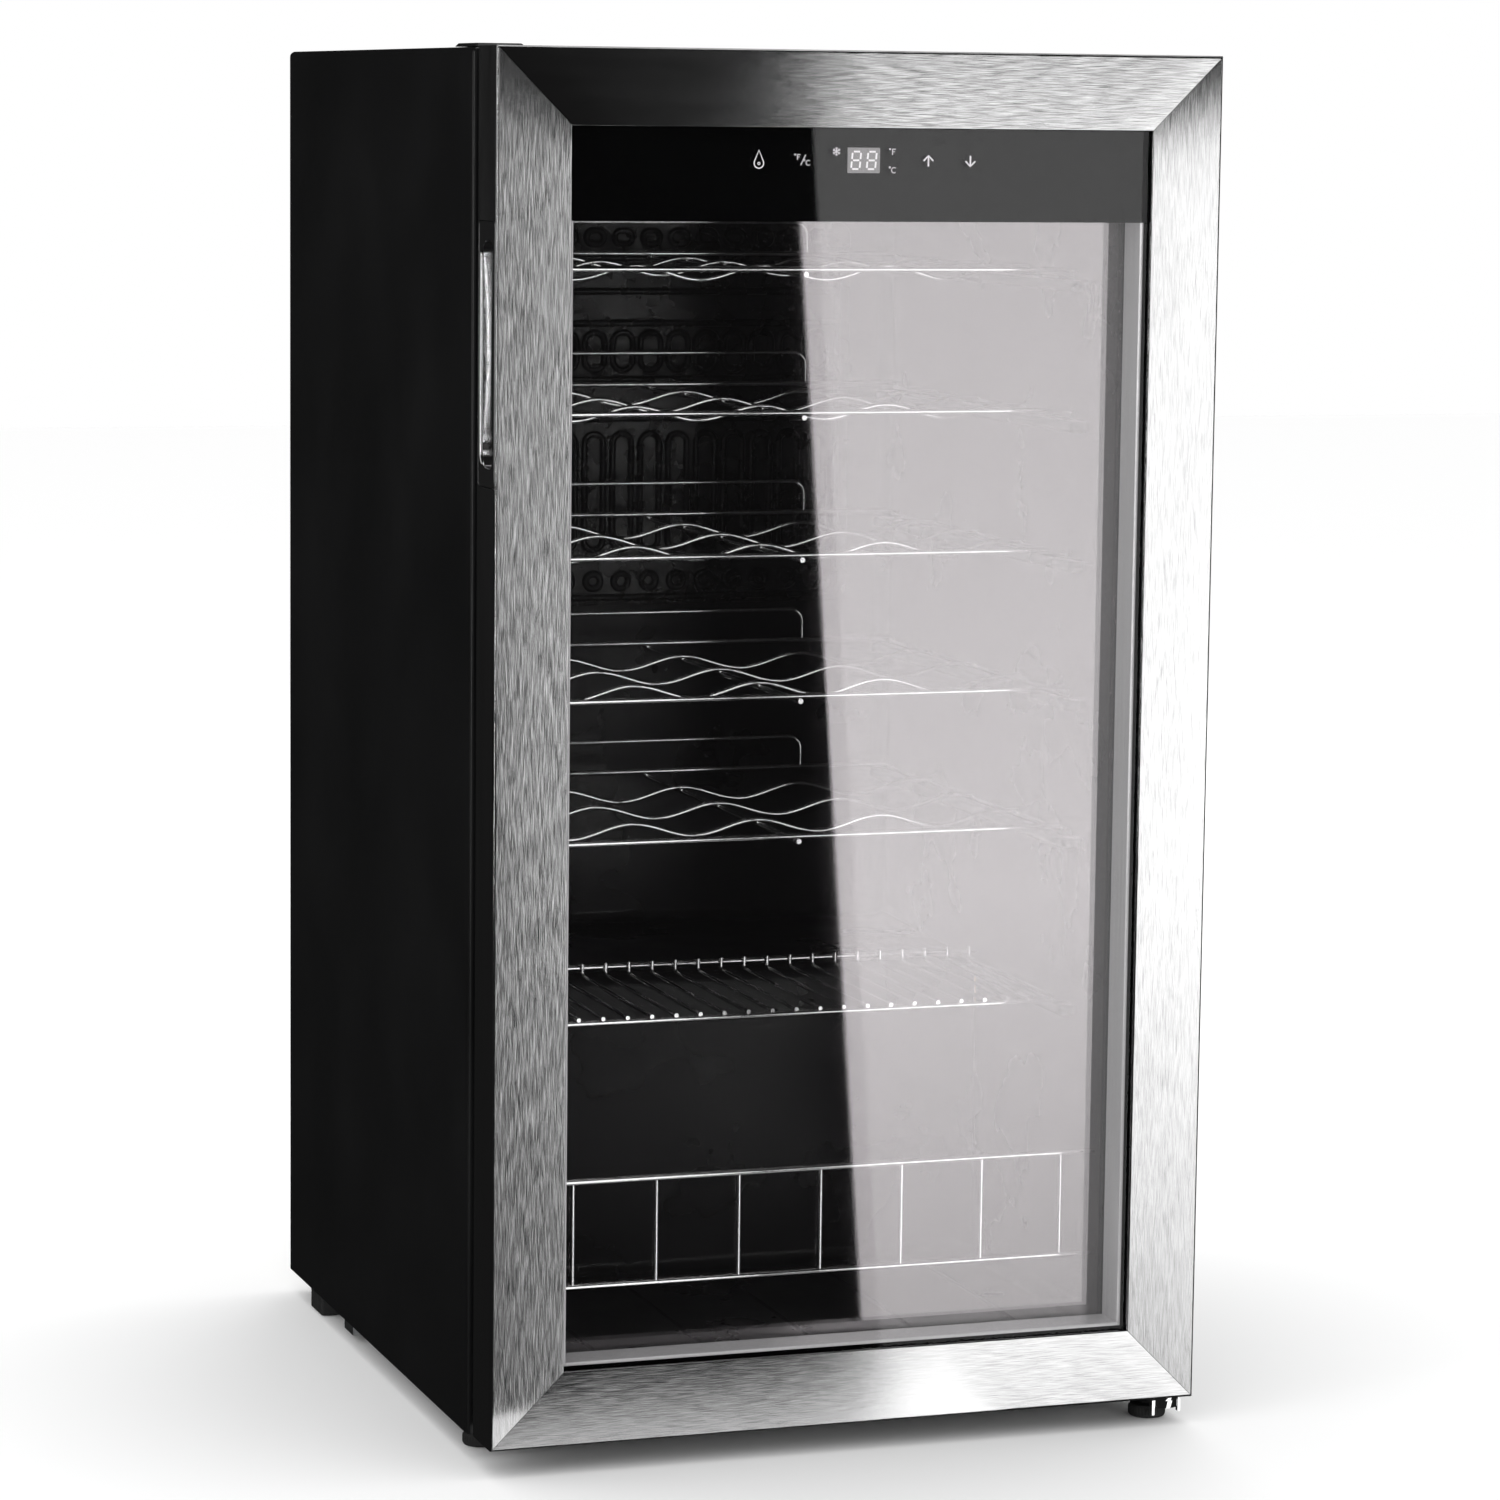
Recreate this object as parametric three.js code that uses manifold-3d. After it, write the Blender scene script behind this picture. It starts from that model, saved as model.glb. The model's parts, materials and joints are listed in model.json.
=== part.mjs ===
// A free-standing wine cooler: black steel cabinet, stainless framed glass door, five wave racks,
// one flat shelf and a fenced floor bay, with its compressor and pipes in a machine room behind.
// Millimetres. The origin is on the floor under the middle. The front faces -Y, the hinges are at +X.
import * as THREE from "three";
import { mergeVertices } from "three/addons/utils/BufferGeometryUtils.js";
import Module from "manifold-3d";

const wasm = await Module();
wasm.setup();

// ---------------------------------------------------------------- driving dimensions
const WIDTH = 445;
const DEPTH = 490;
const DOOR_TOP = 826.7;
const FIT = 0.3; // gap left between pieces that touch

const DOOR_THICKNESS = 37.5;
const DOOR_BORDER = 44.5; // face width of each stainless member
const DOOR_FLOOR_GAP = 16.7;
const DOOR_RIM = 5.7; // the front skin stands this far above the door's top cap
const DOOR_SHEET = 1;
const MITRE_GAP = 0.25;
const SKIN_LIP = 3; // return round the glass opening
const GASKET_GAP = 11.5; // door to cabinet
const GASKET_INSET = 17.5; // from the door's edge
const GASKET_WIDTH = 16;

const CABINET_FLOOR_GAP = 14.6;
const CABINET_TOP_DROP = 0.7; // below the door's top
const PRESSED_FOOT = 4; // bottom of the two blocks pressed down from the base plate
const SHEET = 1; // cabinet steel
const FRONT_RETURN = 8.5; // folded front edge of the wrapper
const SIDE_WALL = 42.5;
const CEILING_WALL = 41;
const FLOOR_WALL = 37.4;
const REAR_WALL = 33; // back panel to liner
const BACK_RECESS = 17; // the back panel sits in front of the side panels' rear edges
const LINER_SHEET = 1.5;
const LINER_FILLET = 10;

const HUMP_DEPTH = 183; // the step over the machine room, from the liner's back wall
const HUMP_HEIGHT = 196;
const HUMP_FOAM = 33;
const HUMP_ROOF_FOAM = 38;

const RACK_COUNT = 5;
const RACK_TOP_GAP = 87.2; // ceiling to the top rack
const RACK_LOW_GAP = 107.3; // hump top to the lowest rack
const RACK_SIDE_GAP = 4; // liner wall to the rails' ends
const RACK_FRONT = 57; // cabinet front to the front rail
const RACK_REAR = 30; // liner back to the rear rail
const RAIL_R = 1.8;
const ROD_R = 1.6;
const WAVE_R = 1.4;
const WELD = 0.4; // how deep two welded wires sink into each other
const WAVE_PITCH = 81.3;
const WAVE_HEIGHT = 8.5;
const WAVE_STEPS = 5; // straight steps drawn in each wave
const STOP_SPAN = 218;
const STOP_HEIGHT = 20.3;
const STOP_BEND = 8;
const LEDGE = 9.5; // how far the liner's ledges reach in under the racks

const SHELF_DROP = 1.8; // flat shelf's rail below the hump top
const SHELF_WIRES = 23;
const SHELF_WIRE_R = 1.3;

const FENCE_LOW = 45; // lower rod above the liner floor
const FENCE_RISE = 63.6;
const FENCE_R = 2;

const HINGE_FROM_SIDE = 12;
const HINGE_FROM_REAR = 18.5; // from the door's rear face
const HINGE_ARM = 10; // half the width of both hinge plates' tongues
const PIN_R = 4;
const PIN_PLAY = 0.3;

const HANDLE_LENGTH = 151;
const HANDLE_DROP = 98.7; // door top to the handle's top
const HANDLE_EDGE = 2.3; // steel left each side of the handle plate
const HANDLE_RIM = 3.5;
const HANDLE_END = 11; // plate beyond each end of the pocket
const HANDLE_DEPTH = 16;
const CUP_WALL = 1;

const CONTROL_BAND = 49; // from the top of the opening down to the top of the inner pane
const PANE = 4;
const PANE_SETBACK = 1.6; // inner pane's rear face in front of the door's rear face
const SPACER_WIDTH = 3;
const GLASS_OVERLAP = 6; // outer pane under the steel

// ---------------------------------------------------------------- places worked out from them
const halfW = WIDTH / 2;
const frontY = -DEPTH / 2;
const rearY = DEPTH / 2;
const doorRearY = frontY + DOOR_THICKNESS;
const cabinetFrontY = doorRearY + GASKET_GAP;
const cabinetTop = DOOR_TOP - CABINET_TOP_DROP;
const backPanelY = rearY - BACK_RECESS - SHEET;
const linerHalf = halfW - SIDE_WALL;
const linerFloor = CABINET_FLOOR_GAP + FLOOR_WALL;
const linerTop = cabinetTop - CEILING_WALL;
const linerBackY = backPanelY - REAR_WALL + SHEET;
const humpFrontY = linerBackY - HUMP_DEPTH;
const humpTop = linerFloor + HUMP_HEIGHT;
const roomFrontY = humpFrontY + HUMP_FOAM;
const roomTop = humpTop - HUMP_ROOF_FOAM;
const insideSheet = halfW - SHEET - FIT;
const basePlateTop = CABINET_FLOOR_GAP + SHEET;
const openHalf = halfW - DOOR_BORDER;
const openLow = DOOR_FLOOR_GAP + DOOR_BORDER;
const openTop = DOOR_TOP - DOOR_BORDER;
const hingeX = halfW - HINGE_FROM_SIDE;
const hingeY = doorRearY - HINGE_FROM_REAR;
const capTop = DOOR_TOP - DOOR_RIM;
const rackHalf = linerHalf - RACK_SIDE_GAP;
const rackFrontY = cabinetFrontY + RACK_FRONT;
const rackRearY = linerBackY - RACK_REAR;

// ---------------------------------------------------------------- finishes
const finish = (color, roughness, metalness) =>
  new THREE.MeshStandardMaterial({ color, roughness, metalness });
const blackPaint = finish(0x17181a, 0.4, 0.3);
const stainless = finish(0xb8b9ba, 0.32, 1);
const chrome = finish(0xdcdde0, 0.12, 1);
const zinc = finish(0xa9adb0, 0.35, 1);
const blackPlastic = finish(0x121213, 0.45, 0);
const linerPlastic = finish(0x1b1c1e, 0.5, 0);
const foam = finish(0xd8c489, 0.95, 0);
const copper = finish(0xb06a43, 0.3, 1);
const rubber = finish(0x101010, 0.8, 0);
const greyPlastic = finish(0xc9cacb, 0.5, 0);
const boardGreen = finish(0x1f5a35, 0.55, 0);
const tintedGlass = new THREE.MeshStandardMaterial({
  color: 0x2a2c2e, roughness: 0.05, metalness: 0, transparent: true, opacity: 0.4,
});

// ---------------------------------------------------------------- solids
// A closed geometry as a manifold solid. Solids pass through unchanged.
function solid(shape) {
  if (!shape.isBufferGeometry) return shape;
  const bare = new THREE.BufferGeometry();
  bare.setAttribute("position", shape.getAttribute("position"));
  bare.setIndex(shape.index);
  const merged = mergeVertices(bare, 1e-4);
  return new wasm.Manifold(
    new wasm.Mesh({
      numProp: 3,
      vertProperties: merged.getAttribute("position").array,
      triVerts: new Uint32Array(merged.index.array),
    }),
  );
}

function join(...shapes) {
  return wasm.Manifold.union(shapes.map(solid));
}

function cut(shape, ...tools) {
  return tools.reduce((left, tool) => left.subtract(solid(tool)), solid(shape));
}

const root = new THREE.Group();

function add(name, shape, material) {
  const mesh = solid(shape).getMesh();
  const geometry = new THREE.BufferGeometry();
  geometry.setAttribute("position", new THREE.BufferAttribute(mesh.vertProperties, 3));
  geometry.setIndex(new THREE.BufferAttribute(mesh.triVerts, 1));
  geometry.computeVertexNormals();
  const made = new THREE.Mesh(geometry, material);
  made.name = name;
  root.add(made);
}

function box(x0, x1, y0, y1, z0, z1) {
  const block = new THREE.BoxGeometry(x1 - x0, y1 - y0, z1 - z0);
  return block.translate((x0 + x1) / 2, (y0 + y1) / 2, (z0 + z1) / 2);
}

const X = new THREE.Vector3(1, 0, 0);
const Y = new THREE.Vector3(0, 1, 0);
const Z = new THREE.Vector3(0, 0, 1);
const drawnInYZ = new THREE.Matrix4().makeBasis(Y, Z, X);
const drawnInXZ = new THREE.Matrix4().makeBasis(X, Z, Y.clone().negate());

// A shape drawn in (y, z), running along x; one drawn in (x, z), running along y; one in (x, y).
function alongX(shape, x0, x1) {
  const run = new THREE.ExtrudeGeometry(shape, { depth: x1 - x0, bevelEnabled: false, curveSegments: 4 });
  return run.applyMatrix4(drawnInYZ).translate(x0, 0, 0);
}

function alongY(shape, y0, y1) {
  const run = new THREE.ExtrudeGeometry(shape, { depth: y1 - y0, bevelEnabled: false, curveSegments: 4 });
  return run.applyMatrix4(drawnInXZ).translate(0, y1, 0);
}

function alongZ(shape, z0, z1) {
  const run = new THREE.ExtrudeGeometry(shape, { depth: z1 - z0, bevelEnabled: false, curveSegments: 4 });
  return run.translate(0, 0, z0);
}

function outline(points) {
  return new THREE.Shape(points.map(([a, b]) => new THREE.Vector2(a, b)));
}

function roundedRect(a0, a1, b0, b1, r) {
  const shape = new THREE.Shape();
  shape.moveTo(a0 + r, b0);
  shape.lineTo(a1 - r, b0);
  shape.absarc(a1 - r, b0 + r, r, -Math.PI / 2, 0, false);
  shape.absarc(a1 - r, b1 - r, r, 0, Math.PI / 2, false);
  shape.absarc(a0 + r, b1 - r, r, Math.PI / 2, Math.PI, false);
  shape.absarc(a0 + r, b0 + r, r, Math.PI, 1.5 * Math.PI, false);
  return shape;
}

function upright(x, y, z0, z1, radius, sides = 16) {
  const drum = new THREE.CylinderGeometry(radius, radius, z1 - z0, sides);
  return drum.rotateX(Math.PI / 2).translate(x, y, (z0 + z1) / 2);
}

// A turned piece about a vertical axis: profile is a list of [radius, z] from its bottom to its top.
function turned(x, y, profile, sides = 20) {
  const points = profile.map(([r, z]) => new THREE.Vector2(r, z));
  return new THREE.LatheGeometry(points, sides).rotateX(Math.PI / 2).translate(x, y, 0);
}

// A path through its points, with one step of the wire between each point and the next.
class WirePath extends THREE.Curve {
  constructor(points) {
    super();
    this.points = points;
  }
  getPoint(t, target = new THREE.Vector3()) {
    const last = this.points.length - 1;
    const at = Math.min(Math.floor(t * last + 1e-9), last - 1);
    return target.lerpVectors(this.points[at], this.points[at + 1], t * last - at);
  }
  getPointAt(u, target) {
    return this.getPoint(u, target);
  }
  getTangentAt(u, target) {
    return this.getTangent(u, target);
  }
}

// A round wire or pipe. Its flat faces lie at the stated radius.
function wire(points, radius, sides = 6) {
  const corner = radius / Math.cos(Math.PI / sides);
  const ring = [];
  for (let i = 0; i < sides; i += 1) {
    const angle = ((i + 0.5) * 2 * Math.PI) / sides;
    ring.push([corner * Math.cos(angle), corner * Math.sin(angle)]);
  }
  const path = new WirePath(points.map((p) => new THREE.Vector3(...p)));
  return new THREE.ExtrudeGeometry(outline(ring), { steps: points.length - 1, extrudePath: path });
}

// Rounds each corner of a run of straight lines with an arc of the given radius.
function bent(points, radius, steps = 4) {
  const v = points.map((p) => new THREE.Vector3(...p));
  const out = [points[0]];
  for (let i = 1; i < v.length - 1; i += 1) {
    const back = v[i - 1].clone().sub(v[i]).normalize();
    const on = v[i + 1].clone().sub(v[i]).normalize();
    const half = back.angleTo(on) / 2;
    const middle = back.clone().add(on).normalize();
    const centre = v[i].clone().addScaledVector(middle, radius / Math.sin(half));
    const from = v[i].clone().addScaledVector(back, radius / Math.tan(half)).sub(centre);
    const axis = new THREE.Vector3().crossVectors(on, back).normalize();
    for (let k = 0; k <= steps; k += 1) {
      const turn = ((Math.PI - 2 * half) * k) / steps;
      out.push(from.clone().applyAxisAngle(axis, turn).add(centre).toArray());
    }
  }
  out.push(points[points.length - 1]);
  return out;
}

// ---------------------------------------------------------------- cabinet casing
// The wrapper: both sides and the top in one fold, with a narrow return round the front.
function outerShell() {
  const low = CABINET_FLOOR_GAP;
  const wrapper = cut(
    box(-halfW, halfW, cabinetFrontY, rearY, low, cabinetTop),
    box(-halfW + SHEET, halfW - SHEET, cabinetFrontY - 1, rearY + 1, low - 1, cabinetTop - SHEET),
  );
  const inner = halfW - FRONT_RETURN;
  const front = cut(
    box(-halfW, halfW, cabinetFrontY, cabinetFrontY + SHEET, low, cabinetTop),
    box(-inner, inner, cabinetFrontY - 1, rearY, low - 1, cabinetTop - FRONT_RETURN),
  );
  const slot = box(
    hingeX - HINGE_ARM - 1, insideSheet, cabinetFrontY - 1, cabinetFrontY + SHEET + 1,
    capTop, cabinetTop - SHEET,
  );
  return cut(join(wrapper, front), slot);
}
add("outer_shell", outerShell(), blackPaint);

add(
  "back_panel",
  box(-insideSheet, insideSheet, backPanelY, backPanelY + SHEET, roomTop, cabinetTop - SHEET - FIT),
  zinc,
);

const footR = 11.5;
const footHeight = 8;
const stemR = 3;
const leftFoot = { x: -halfW + 17.5, y: cabinetFrontY + 31, top: basePlateTop + 8 };
const rightFoot = { x: hingeX - 6, y: hingeY + 9, top: CABINET_FLOOR_GAP - FIT };
const glandX = -halfW + 60;
const glandY = rearY - 7;
const glandZ = 32;
const glandR = 6;

function basePlate() {
  const lipTop = CABINET_FLOOR_GAP + 7;
  const rearLipTop = glandZ + 14;
  const tray = join(
    box(-insideSheet, insideSheet, cabinetFrontY, glandY + SHEET, CABINET_FLOOR_GAP, basePlateTop),
    box(-insideSheet + FRONT_RETURN, insideSheet - FRONT_RETURN, cabinetFrontY, cabinetFrontY + SHEET,
      CABINET_FLOOR_GAP, lipTop),
    box(-insideSheet, glandX + 40, glandY, glandY + SHEET, CABINET_FLOOR_GAP, rearLipTop),
    ...[-1, 1].map((side) => {
      const x = side * (halfW - 13);
      const y = roomFrontY + 60;
      return box(x - 8, x + 8, y - 11, y + 11, PRESSED_FOOT, CABINET_FLOOR_GAP + SHEET / 2);
    }),
  );
  const front = box(-insideSheet - 1, insideSheet + 1, cabinetFrontY - 1, cabinetFrontY + SHEET + FIT,
    CABINET_FLOOR_GAP - 1, basePlateTop + 1);
  const keep = box(-insideSheet + FRONT_RETURN, insideSheet - FRONT_RETURN, cabinetFrontY - 2,
    cabinetFrontY + SHEET + FIT + 1, CABINET_FLOOR_GAP - 2, basePlateTop + 2);
  const stemHole = upright(leftFoot.x, leftFoot.y, 0, 40, stemR + FIT, 12);
  const gland = new THREE.CylinderGeometry(glandR + FIT, glandR + FIT, 20, 16);
  return cut(tray, cut(front, keep), stemHole, gland.translate(glandX, glandY, glandZ));
}
add("base_plate", basePlate(), zinc);

// The liner's cavity in (y, z), grown by g all round: a tall box with a step over the machine room.
function cavity(g, mouthY) {
  const r = LINER_FILLET;
  const low = linerFloor - g;
  const top = linerTop + g;
  const back = linerBackY + g;
  const step = humpTop - g;
  const face = humpFrontY + g;
  const shape = new THREE.Shape();
  shape.moveTo(mouthY, low);
  shape.lineTo(face - r - g, low);
  shape.absarc(face - r - g, low + r + g, r + g, -Math.PI / 2, 0, false);
  shape.lineTo(face, step - r + g);
  shape.absarc(face + r - g, step - r + g, r - g, Math.PI, Math.PI / 2, true);
  shape.lineTo(back - r - g, step);
  shape.absarc(back - r - g, step + r + g, r + g, -Math.PI / 2, 0, false);
  shape.lineTo(back, top - r - g);
  shape.absarc(back - r - g, top - r - g, r + g, 0, Math.PI / 2, false);
  shape.lineTo(mouthY, top);
  return shape;
}

const rackTopZ = linerTop - RACK_TOP_GAP;
const rackLowZ = humpTop + RACK_LOW_GAP;
const rackZ = (i) => rackTopZ - ((rackTopZ - rackLowZ) * i) / (RACK_COUNT - 1);
const rodDrop = RAIL_R + ROD_R - WELD; // the rods lie under the rails
const shelfZ = humpTop - SHELF_DROP;
const drainX = 30;
const drainY = linerBackY - 30;
const drainR = 5;
const drainWall = 2;

// The suction pipe climbs inside the rear foam and turns forward into the evaporator.
const pipeR = 3.5;
const compressorX = 70;
const compressorY = roomFrontY + 97;
const compressorR = 62;
const evaporatorTop = linerTop - 67;
const evaporatorHeight = 254;
const evaporatorHalf = linerHalf - 30;
const evaporatorY = linerBackY - 3.5;
const evaporatorSheet = 1.5;
const suctionX = -40;
const suctionY = (linerBackY + backPanelY) / 2;
const suctionPath = bent(
  [
    [compressorX - compressorR - FIT, compressorY, 110],
    [suctionX, compressorY, 110],
    [suctionX, suctionY, 180],
    [suctionX, suctionY, evaporatorTop - evaporatorHeight + 16],
    [suctionX, evaporatorY + evaporatorSheet + FIT, evaporatorTop - evaporatorHeight + 16],
  ],
  10,
);

function innerLiner() {
  const g = LINER_SHEET;
  const tub = alongX(cavity(g, cabinetFrontY), -linerHalf - g, linerHalf + g);
  const flangeHalf = halfW - FRONT_RETURN - 0.5;
  const flange = box(-flangeHalf, flangeHalf, cabinetFrontY, cabinetFrontY + g,
    CABINET_FLOOR_GAP + 7.5, cabinetTop - FRONT_RETURN - 0.5);
  const hollow = alongX(cavity(0, cabinetFrontY - 1), -linerHalf, linerHalf);
  const ledges = [];
  for (const side of [-1, 1]) {
    const x0 = side < 0 ? -linerHalf - g : linerHalf - LEDGE;
    for (let i = 0; i < RACK_COUNT; i += 1) {
      const top = rackZ(i) - rodDrop - ROD_R - FIT;
      ledges.push(box(x0, x0 + LEDGE + g, rackFrontY - 9, linerBackY + g, top - 7, top));
    }
    const shelfTop = shelfZ - RAIL_R - FIT;
    ledges.push(box(x0, x0 + LEDGE + g, rackFrontY - 9, humpFrontY + g, shelfTop - 7, shelfTop));
  }
  return cut(
    join(cut(join(tub, flange), hollow), ...ledges),
    upright(drainX, drainY, humpTop - 10, humpTop + 5, drainR, 12),
    wire(suctionPath.slice(-3), pipeR + FIT, 8),
  );
}
add("inner_liner", innerLiner(), linerPlastic);

function insulation() {
  const clear = LINER_SHEET + FIT;
  const block = box(-insideSheet, insideSheet, cabinetFrontY + clear, backPanelY - FIT,
    basePlateTop + FIT, cabinetTop - SHEET - FIT);
  const tub = alongX(cavity(clear, cabinetFrontY - 5), -linerHalf - clear, linerHalf + clear);
  const room = box(-halfW, halfW, roomFrontY, rearY, 0, roomTop);
  const hingeSeat = box(hingeX - HINGE_ARM - 5, halfW, cabinetFrontY, cabinetFrontY + 60,
    capTop + 0.2, cabinetTop);
  const stemRoom = upright(leftFoot.x, leftFoot.y, 0, leftFoot.top + 4, stemR + 2, 12);
  const drain = upright(drainX, drainY, roomTop - 5, humpTop + 5, drainR + drainWall + FIT, 12);
  const pipe = wire(suctionPath, pipeR + FIT, 8);
  return cut(block, tub, room, hingeSeat, stemRoom, drain, pipe);
}
add("foam_insulation", insulation(), foam);

function evaporatorPlate() {
  const low = evaporatorTop - evaporatorHeight;
  const plate = alongY(
    roundedRect(-evaporatorHalf, evaporatorHalf, low, evaporatorTop, 10),
    evaporatorY, evaporatorY + evaporatorSheet,
  );
  const studs = [];
  for (const x of [-evaporatorHalf + 18, evaporatorHalf - 18]) {
    for (const z of [low + 18, evaporatorTop - 18]) {
      const stud = new THREE.CylinderGeometry(4, 4, linerBackY - FIT - evaporatorY, 12);
      studs.push(stud.translate(x, (linerBackY - FIT + evaporatorY) / 2, z));
    }
  }
  return join(plate, ...studs);
}
add("evaporator_plate", evaporatorPlate(), blackPaint);

// ---------------------------------------------------------------- machine room and condenser
const coilR = 2.4;
const coilY = rearY - 8;
const coilHalf = halfW - 32;
const coilTop = cabinetTop - 36;
const coilLow = roomTop + 40;
const coilRows = 9;
const coilPitch = (coilTop - coilLow) / (coilRows - 1);
const coilStart = roomTop + 8;
const coilEnd = roomTop - 12;

// The hot gas rises beside the coil, then runs down it from side to side and leaves at the left.
function condenserCoil() {
  const riserX = coilHalf + 14;
  const bend = coilPitch / 2;
  const points = bent([[riserX, coilY, coilStart], [riserX, coilY, coilTop], [0, coilY, coilTop]], 12, 3);
  for (let row = 0; row < coilRows - 1; row += 1) {
    const way = row % 2 ? 1 : -1;
    const middle = coilTop - (row + 0.5) * coilPitch;
    for (let k = 0; k <= 6; k += 1) {
      const angle = Math.PI / 2 - (k * Math.PI) / 6;
      const x = way * (coilHalf - bend + bend * Math.cos(angle));
      points.push([x, coilY, middle + bend * Math.sin(angle)]);
    }
  }
  const drop = [[0, coilY, coilLow], [-coilHalf, coilY, coilLow], [-coilHalf, coilY, coilEnd]];
  points.push(...bent(drop, 12, 3).slice(1));
  return wire(points, coilR);
}
add("condenser_coil", condenserCoil(), blackPaint);

for (const [name, side] of [["left", -1], ["right", 1]]) {
  const x = side * (coilHalf - 45);
  add(
    `condenser_rail_${name}`,
    box(x - 6, x + 6, backPanelY + SHEET + FIT, coilY - coilR - FIT, coilLow - 15, coilTop + 15),
    zinc,
  );
}

const mountZ = basePlateTop + 10;
const mountHalf = 88;
const mountReach = 50;
const mountHoles = [-1, 1].flatMap((i) => [-1, 1].map((j) => [
  compressorX + i * (mountHalf - 14), compressorY + j * (mountReach - 14),
]));

function compressorMount() {
  const plate = box(compressorX - mountHalf, compressorX + mountHalf, compressorY - mountReach,
    compressorY + mountReach, mountZ, mountZ + 2.5);
  return cut(plate, ...mountHoles.map(([x, y]) => upright(x, y, mountZ - 5, mountZ + 8, 5 + FIT, 12)));
}
add("compressor_mount", compressorMount(), blackPaint);

mountHoles.forEach(([x, y], i) => {
  const profile = [
    [0, basePlateTop + FIT], [9, basePlateTop + FIT], [9, mountZ - FIT], [5, mountZ - FIT],
    [5, mountZ + 5], [0, mountZ + 5],
  ];
  add(`compressor_grommet_${i + 1}`, turned(x, y, profile, 12), rubber);
});

function compressorCan() {
  const low = mountZ + 2.5 + FIT;
  const profile = [[0, low], [compressorR - 16, low], [compressorR - 3, low + 12], [compressorR, low + 30]];
  profile.push([compressorR, low + 88], [compressorR - 4, low + 108], [compressorR - 18, low + 124]);
  profile.push([compressorR - 38, low + 131], [0, low + 133]);
  return turned(compressorX, compressorY, profile, 24);
}
add("compressor", compressorCan(), blackPaint);

const relayX = compressorX + compressorR + 2;
add(
  "start_relay_box",
  box(relayX, relayX + 30, compressorY - 28, compressorY + 28, mountZ + 20, mountZ + 85),
  blackPlastic,
);

const boxLeft = -insideSheet + 16;
add(
  "power_board_box",
  box(boxLeft, boxLeft + 80, roomFrontY + 15, roomFrontY + 110, basePlateTop + FIT, basePlateTop + 70),
  blackPlastic,
);

add("suction_pipe", wire(suctionPath, pipeR, 8), copper);

const dischargePath = bent(
  [
    [compressorX, compressorY + compressorR + FIT, 80],
    [compressorX, compressorY + compressorR + 26, 80],
    [coilHalf + 14, compressorY + compressorR + 26, 80],
    [coilHalf + 14, coilY, 130],
    [coilHalf + 14, coilY, coilStart - FIT],
  ],
  10,
);
add("discharge_pipe", wire(dischargePath, coilR, 8), copper);

const drierX = -coilHalf;
const drierTop = coilEnd - FIT;
add(
  "filter_drier",
  turned(drierX, coilY, [
    [0, drierTop - 100], [3, drierTop - 100], [6.5, drierTop - 88], [6.5, drierTop - 14],
    [3, drierTop - 4], [0, drierTop],
  ], 14),
  copper,
);

function dripTray() {
  const z = mountZ + 2.5 + 133 + 6;
  const outer = box(compressorX - 70, compressorX + 55, compressorY - 45, compressorY + 55, z, z + 22);
  const inner = box(compressorX - 68, compressorX + 53, compressorY - 43, compressorY + 53, z + 2, z + 23);
  return cut(outer, inner);
}
add("drip_tray", dripTray(), blackPlastic);

function drainSpout() {
  const top = humpTop - LINER_SHEET - FIT;
  const low = roomTop - 8;
  const tube = upright(drainX, drainY, low, top, drainR + drainWall, 12);
  return cut(tube, upright(drainX, drainY, low - 1, top + 1, drainR, 12));
}
add("drain_spout", drainSpout(), blackPlastic);

function cordGland() {
  const flange = new THREE.CylinderGeometry(9, 9, 2.4, 18);
  const body = new THREE.CylinderGeometry(glandR, glandR, 11, 18);
  const bore = new THREE.CylinderGeometry(3.6, 3.6, 30, 12);
  const flangeY = glandY + SHEET + FIT + 1.2;
  return cut(
    join(flange.translate(0, flangeY, 0), body.translate(0, flangeY - 1.2 - 4, 0)),
    bore.translate(0, flangeY, 0),
  ).translate([glandX, 0, glandZ]);
}
add("cord_gland", cordGland(), blackPlastic);

// ---------------------------------------------------------------- lamp, sensor, caps and rear feet
const lampY = rackFrontY + 30;
add("lamp_housing", box(-55, 55, lampY - 16, lampY + 16, linerTop - 9, linerTop - FIT), blackPlastic);
add("lamp_lens", box(-50, 50, lampY - 12, lampY + 12, linerTop - 13, linerTop - 9 - FIT), greyPlastic);

const sensorZ = (rackZ(1) + rackZ(2)) / 2 - 8; // between two ledges
add(
  "temperature_sensor",
  box(-linerHalf + FIT, -linerHalf + 7, linerBackY - 70, linerBackY - 46, sensorZ - 15, sensorZ + 15),
  blackPlastic,
);

add(
  "hinge_blank_cap",
  alongX(
    outline([
      [cabinetFrontY + 1, cabinetTop + FIT], [cabinetFrontY + 49, cabinetTop + FIT],
      [cabinetFrontY + 46, cabinetTop + 2.3], [cabinetFrontY + 4, cabinetTop + 2.3],
    ]),
    -halfW + 2.5, -halfW + 31.5,
  ),
  blackPlastic,
);

for (const [name, side] of [["left", -1], ["right", 1]]) {
  const x = side * (halfW - 17);
  const foot = box(x - 15, x + 15, rearY - 80, rearY - 50, 0, CABINET_FLOOR_GAP - FIT);
  add(`rear_foot_${name}`, foot, rubber);
}

// ---------------------------------------------------------------- hinges
// A hinge plate seen from above: a straight tongue with a round end about the pin.
function hingeTongue(rearEnd, z0, z1) {
  const shape = new THREE.Shape();
  shape.moveTo(hingeX + HINGE_ARM, rearEnd);
  shape.lineTo(hingeX - HINGE_ARM, rearEnd);
  shape.lineTo(hingeX - HINGE_ARM, hingeY);
  shape.absarc(hingeX, hingeY, HINGE_ARM, Math.PI, 2 * Math.PI, false);
  return alongZ(shape, z0, z1);
}

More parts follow.
